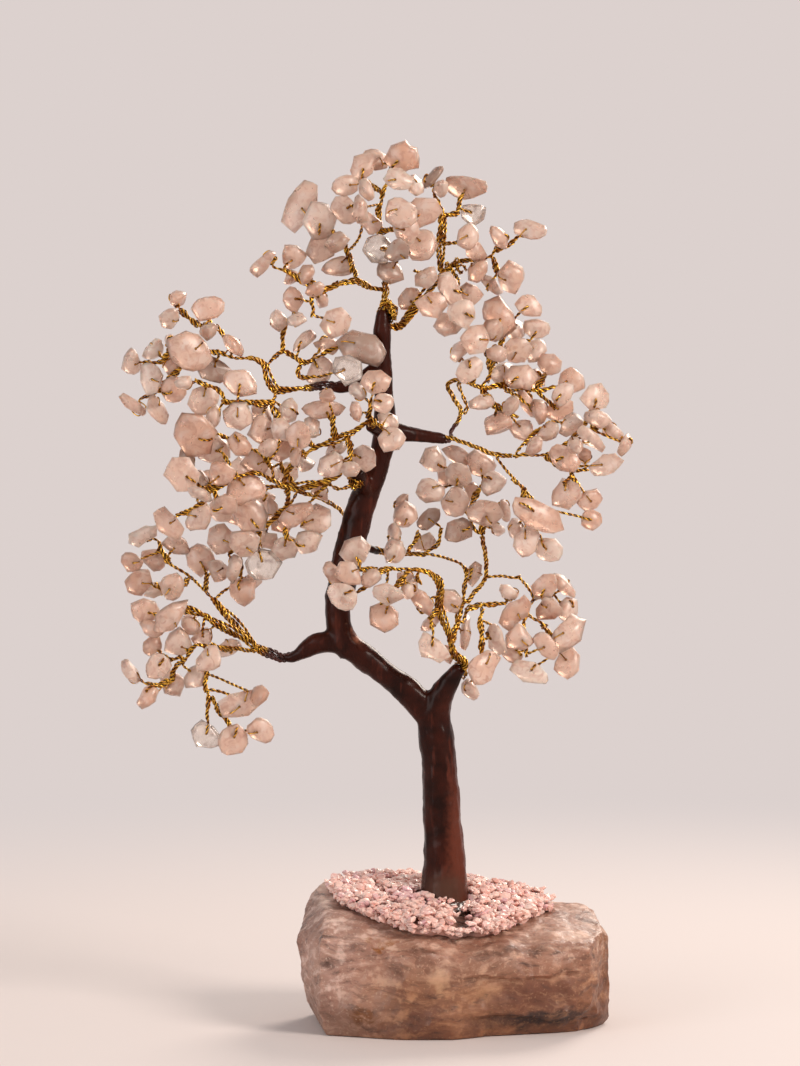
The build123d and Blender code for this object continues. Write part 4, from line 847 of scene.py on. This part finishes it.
# Oil enamel on clay: deep red brown under a glossy skin, redder and lighter where it is thin, with brush
# streaks of 2 mm and lumps of 8 mm. Its right side is painted lighter and redder, as painted light.
enamel, add, place = new_material("brown enamel on clay")
stretched = add("Mapping", {"Vector": place, "Scale": (1.0, 1.0, 0.22)})
streaks = add("TexNoise", {"Vector": stretched, "Scale": 420.0, "Detail": 5.0})
lumps = add("TexNoise", {"Vector": place, "Scale": 130.0, "Detail": 3.0})
colour = laid_over(add, "#1E0803", ("#3A150B", lumps, 0.35, 0.68), ("#55261A", streaks, 0.58, 0.74))
for centre, size, patch, grain in (
    # Painted light: the trunk's right side drawn lighter and redder, as if lit
    (Vector((0.0040, -0.005, 0.052)), (0.0040, 0.008, 0.030), "#5C2C1E", 0.0014),
    (Vector((-0.0005, -0.006, 0.0395)), (0.0075, 0.008, 0.0065), "#4E3227", 0.0015),
    (seen(360, 634, -0.003), (0.0026, 0.005, 0.0030), "#A86A50", 0.0016),
):
    colour = laid_over(add, colour, (patch, blotch(add, place, centre, size, grain)))
brushed = add("MapRange", {0: streaks, 1: 0.3, 2: 0.7, 3: 0.20, 4: 0.36})
bump = add("Bump", {"Strength": 0.30, "Distance": 0.0003, "Height": streaks})
shader = add("BsdfPrincipled", {
    "Base Color": colour, "Roughness": brushed, "Normal": bump,
    "Specular IOR Level": 0.11, "Coat Weight": 0.03, "Coat Roughness": 0.12,
})
add("OutputMaterial", {"Surface": shader})
select_only(trunk)
bpy.ops.object.shade_smooth()
finish(trunk, "enamelled_clay", ["trunk"], enamel)


# Glue collar: a ring of dark glue that holds the trunk's foot on the stone, with stray flakes in it.
# It is pressed down by hand, so it is lumpy and runs out a little at the front.
collar = copy_of("glue_collar", "glue_ring")
remesh(collar, 0.0005)
apply_modifier(collar, "SMOOTH", factor=0.5, iterations=6)
relief(collar, "CLOUDS", grain=0.0032, height=0.0012, level=0.45)
# Hot glue: dark brown and glossy, with pale specks of stone dust
glue, add, place = new_material("dark hot glue")
specks = add("TexNoise", {"Vector": place, "Scale": 900.0, "Detail": 4.0})
colour = laid_over(add, "#23120D", ("#6E4B3E", specks, 0.45, 0.70))
shader = add("BsdfPrincipled", {"Base Color": colour, "Roughness": 0.25, "Coat Weight": 0.4})
add("OutputMaterial", {"Surface": shader})
select_only(collar)
bpy.ops.object.shade_smooth()
finish(collar, "dark_glue", ["glue_collar"], glue)


# Resin bed: clear casting resin poured round the collar to hold the gravel. It soaks in among the
# grains and ends in a ragged edge, so little of it shows.
bed = copy_of("resin_bed", "resin_pool")
low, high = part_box("resin_bed")
bed_middle = (low + high) / 2
fall_right_share, fall_front_share = 0.0785, 0.148      # of the stone's top
top_normal = Vector((fall_right_share, -fall_front_share, 1)).normalized()
half_thickness = 0.0008
sunk_below, sunk_above = 0.0018, 0.0004                 # by which its underside and its top are lowered
drawn_in_share = 0.09
for vertex in bed.data.vertices:
    height = (vertex.co - Vector((0, 0, stone_height))).dot(top_normal)
    vertex.co -= top_normal * (sunk_below if height < half_thickness else sunk_above)
    vertex.co.x += (bed_middle.x - vertex.co.x) * drawn_in_share
    vertex.co.y += (bed_middle.y - vertex.co.y) * drawn_in_share
remesh(bed, fine_voxel)
relief(bed, "CLOUDS", grain=0.004, height=0.0018, level=0.75)
# Casting resin: clear and glossy over pink stone dust in grains of 1 mm, dark where the bed is bare
resin, add, place = new_material("clear resin over pink grit")
grit = add("TexVoronoi", {"Vector": place, "Scale": 800.0})
valley = blotch(add, place, Vector((0.005, -0.018, 0.032)), (0.0045, 0.013, 0.006), 0.003)
colour = laid_over(add, "#A6786A", ("#D09E90", grit.outputs["Distance"]), ("#4A342C", valley))
shader = add("BsdfPrincipled", {"Base Color": colour, "Roughness": 0.22, "IOR": 1.5})
add("OutputMaterial", {"Surface": shader})
select_only(bed)
bpy.ops.object.shade_smooth()
finish(bed, "clear_resin", ["resin_bed"], resin)


# Gravel: crushed rose quartz, sharp little flakes one to three millimetres across, heaped on the
# resin up to the trunk's foot. Pale pink, some of it lilac or nearly white.
bpy.ops.object.select_all(action="DESELECT")
flake_shapes = []
random.seed(5)
for number in range(6):
    bpy.ops.mesh.primitive_ico_sphere_add(subdivisions=1, radius=1.0, location=(0, 0, 0))
    flake = bpy.context.active_object
    bpy.ops.object.mode_set(mode="EDIT")
    bpy.ops.transform.resize(value=(1.0, random.uniform(0.6, 0.9), random.uniform(0.35, 0.6)))
    bpy.ops.transform.vertex_random(offset=0.28, seed=number)
    bpy.ops.object.mode_set(mode="OBJECT")
    flake_shapes.append(([vertex.co.copy() for vertex in flake.data.vertices],
                         [tuple(face.vertices) for face in flake.data.polygons]))
    bpy.data.objects.remove(flake)

corners, faces, shares = [], [], []


def add_flake(shape, middle, turn, size):
    """One flake of a shape, with a tint of its own."""
    places, polygons = shape
    first = len(corners)
    corners.extend(tuple(middle + turn @ (place * size)) for place in places)
    faces.extend(tuple(first + v for v in polygon) for polygon in polygons)
    shares.extend([random.random()] * len(places))


def any_side():
    return Matrix.Rotation(random.uniform(0, 6.28), 3, "Z")


def heap_level(x, y):
    return heap_level_at_trunk - fall_right_share * x + fall_front_share * y


bed_skin = skin_of("resin_bed")
heap_level_at_trunk = 0.0355
glue_reach = 0.0105             # from the trunk's middle, outside which flakes need resin under them
clay_edge = 0.0070              # inside which the trunk stands
rim_gap = 0.0010                # by which flakes lie past the resin's edge
heap_foot = 0.0012              # height of the heap at its edge
heap_rise = 0.0026              # by which it is higher at the trunk
bare_share = 0.9                # of the flakes are missing where the resin is bare
flakes_wanted = 1400
while flakes_wanted:
    x, y = random.uniform(low.x - 0.001, high.x + 0.001), random.uniform(low.y - 0.001, high.y + 0.001)
    point, _, _, _ = bed_skin.ray_cast(Vector((x, y, 0.1)), Vector((0, 0, -1)))
    from_foot = math.hypot(x, y)
    if point is None and from_foot > glue_reach:
        edge, _, _, gap = bed_skin.find_nearest(Vector((x, y, heap_level(x, y))))
        if gap < rim_gap:
            point = edge - top_normal * random.uniform(0.0, 0.0016)
    bare = math.hypot((x - 0.005) / 0.0038, (y + 0.018) / 0.013) < 1
    off_resin = point is None and from_foot > glue_reach
    if off_resin or from_foot < clay_edge or bare and random.random() < bare_share:
        continue
    flakes_wanted -= 1
    level = point.z if point else heap_level(x, y)
    heap = heap_rise * math.exp(-((from_foot - 0.009) / 0.016) ** 2) + heap_foot
    size = 0.0009 + 0.0014 * random.betavariate(1.3, 2.2)
    turn = tumbled(any_side(), 0.35, "XY")
    middle = Vector((x, y, level + random.uniform(0.25, 1.0) * heap))
    add_flake(flake_shapes[flakes_wanted % len(flake_shapes)], middle, turn, size)
# More flakes lie against the bed's edge and hang over it
rim_flake_area = 0.9e-6
bed_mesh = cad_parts["resin_bed"].data
for face in bed_mesh.polygons:
    if abs(face.normal.dot(top_normal)) < 0.7 and math.hypot(face.center.x, face.center.y) > 0.012:
        a, b, c = (bed_mesh.vertices[v].co for v in face.vertices)
        for _ in range(max(1, round(face.area / rim_flake_area))):
            u, v = sorted((random.random(), random.random()))
            middle = a * u + b * (v - u) + c * (1 - v) - face.normal * 0.0005
            turn = tumbled(any_side(), 0.8, "X")
            shape = random.choice(flake_shapes)
            add_flake(shape, middle, turn, random.uniform(0.0009, 0.0017))
mesh = bpy.data.meshes.new("quartz_gravel")
mesh.from_pydata(corners, [], faces)
mesh.attributes.new("tint", "FLOAT", "POINT").data.foreach_set("value", shares)
gravel = new_object("quartz_gravel", mesh)

# Crushed rose quartz: fresh glassy breaks, pale pink and half clear, with pale spots of 1 mm
crushed, add, place = new_material("crushed rose quartz")
tint = add("Attribute", {}, attribute_name="tint").outputs["Fac"]
spots = add("TexNoise", {"Vector": place, "Scale": 1100.0, "Detail": 3.0})
lilac = blotch(add, place, Vector((-0.011, -0.004, 0.035)), (0.0075, 0.008, 0.006), 0.002)
colour = laid_over(add, "#E4B0A4", ("#EFC9BD", tint, 0.0, 0.7), ("#D7A3A5", tint, 0.75, 1.0),
                   ("#C79FAE", lilac, 0.0, 1.4), ("#F2D6CB", spots, 0.56, 0.72))
shader = add("BsdfPrincipled", {
    "Base Color": colour, "Roughness": 0.38, "IOR": 1.544,
    "Subsurface Weight": 0.45, "Subsurface Radius": (1.0, 0.85, 0.82), "Subsurface Scale": 0.0008,
})
add("OutputMaterial", {"Surface": shader})
finish(gravel, "rose_quartz_gravel", ["gravel"], crushed)


# Floor, light and camera: a pale floor that fades into the background, one large soft light at the
# right as in the photograph, a weaker one at the left and one behind for the stones' glow.
bpy.ops.object.select_all(action="DESELECT")
bpy.ops.mesh.primitive_circle_add(vertices=96, radius=6.0, fill_type="NGON", location=(0, 0, 0))
floor = bpy.context.active_object
floor.name = "pale_floor"
background = linear("#DCD1CE")
paper, add, place = new_material("pale floor")
out = add("VectorMath", {0: place}, operation="LENGTH").outputs["Value"]
fade = add("MapRange", {0: out, 1: 0.16, 2: 0.55}, interpolation_type="SMOOTHSTEP")
matt = add("BsdfPrincipled", {"Base Color": background, "Roughness": 0.8})
glow = add("Emission", {"Color": background, "Strength": 1.0})
mixed = add("MixShader", {0: fade, 1: matt, 2: glow})
add("OutputMaterial", {"Surface": mixed})
floor.data.materials.append(paper)

world = bpy.data.worlds.new("plain room")
bpy.context.scene.world = world
world.use_nodes = True
world.node_tree.nodes.clear()
add = partial(add_node, world.node_tree)
rays = add("LightPath", {}).outputs
seen_ray = rays["Is Camera Ray"]
for name in ("Is Glossy Ray", "Is Transmission Ray"):
    seen_ray = add("Math", {0: seen_ray, 1: rays[name]}, operation="MAXIMUM")
room = add("Background", {"Color": linear("#FFFFFF"), "Strength": 0.45})
shown = add("Background", {"Color": background, "Strength": 1.0})
mixed = add("MixShader", {0: seen_ray, 1: room, 2: shown})
add("OutputWorld", {"Surface": mixed})

for name, place, power, size, tone in (
    ("soft key", (0.95, -0.75, 0.80), 15.0, 0.55, "#FFF3E8"),
    ("soft fill", (-1.00, -0.90, 0.45), 5.0, 0.90, "#FFFFFF"),
    ("soft back", (0.55, 1.00, 0.75), 11.0, 0.60, "#FFF1E4"),
):
    light = bpy.data.lights.new(name, "AREA")
    light.shape, light.size, light.energy = "DISK", size, power
    light.color = linear(tone)[:3]
    lamp = new_object(name, light)
    lamp.location = place
    lamp.rotation_euler = (Vector((0, 0, 0.13)) - Vector(place)).to_track_quat("-Z", "Y").to_euler()

lens = bpy.data.cameras.new("front view")
lens.sensor_fit = "HORIZONTAL"
lens.sensor_width = 36.0
lens.lens = lens.sensor_width * focal / picture_width
lens.clip_start, lens.clip_end = 0.05, 30.0
camera = new_object("front view", lens)
camera.location = eye
camera.rotation_euler = (math.pi / 2 - view_tilt, 0, 0)
bpy.context.scene.camera = camera
bpy.context.scene.view_settings.view_transform = "Standard"
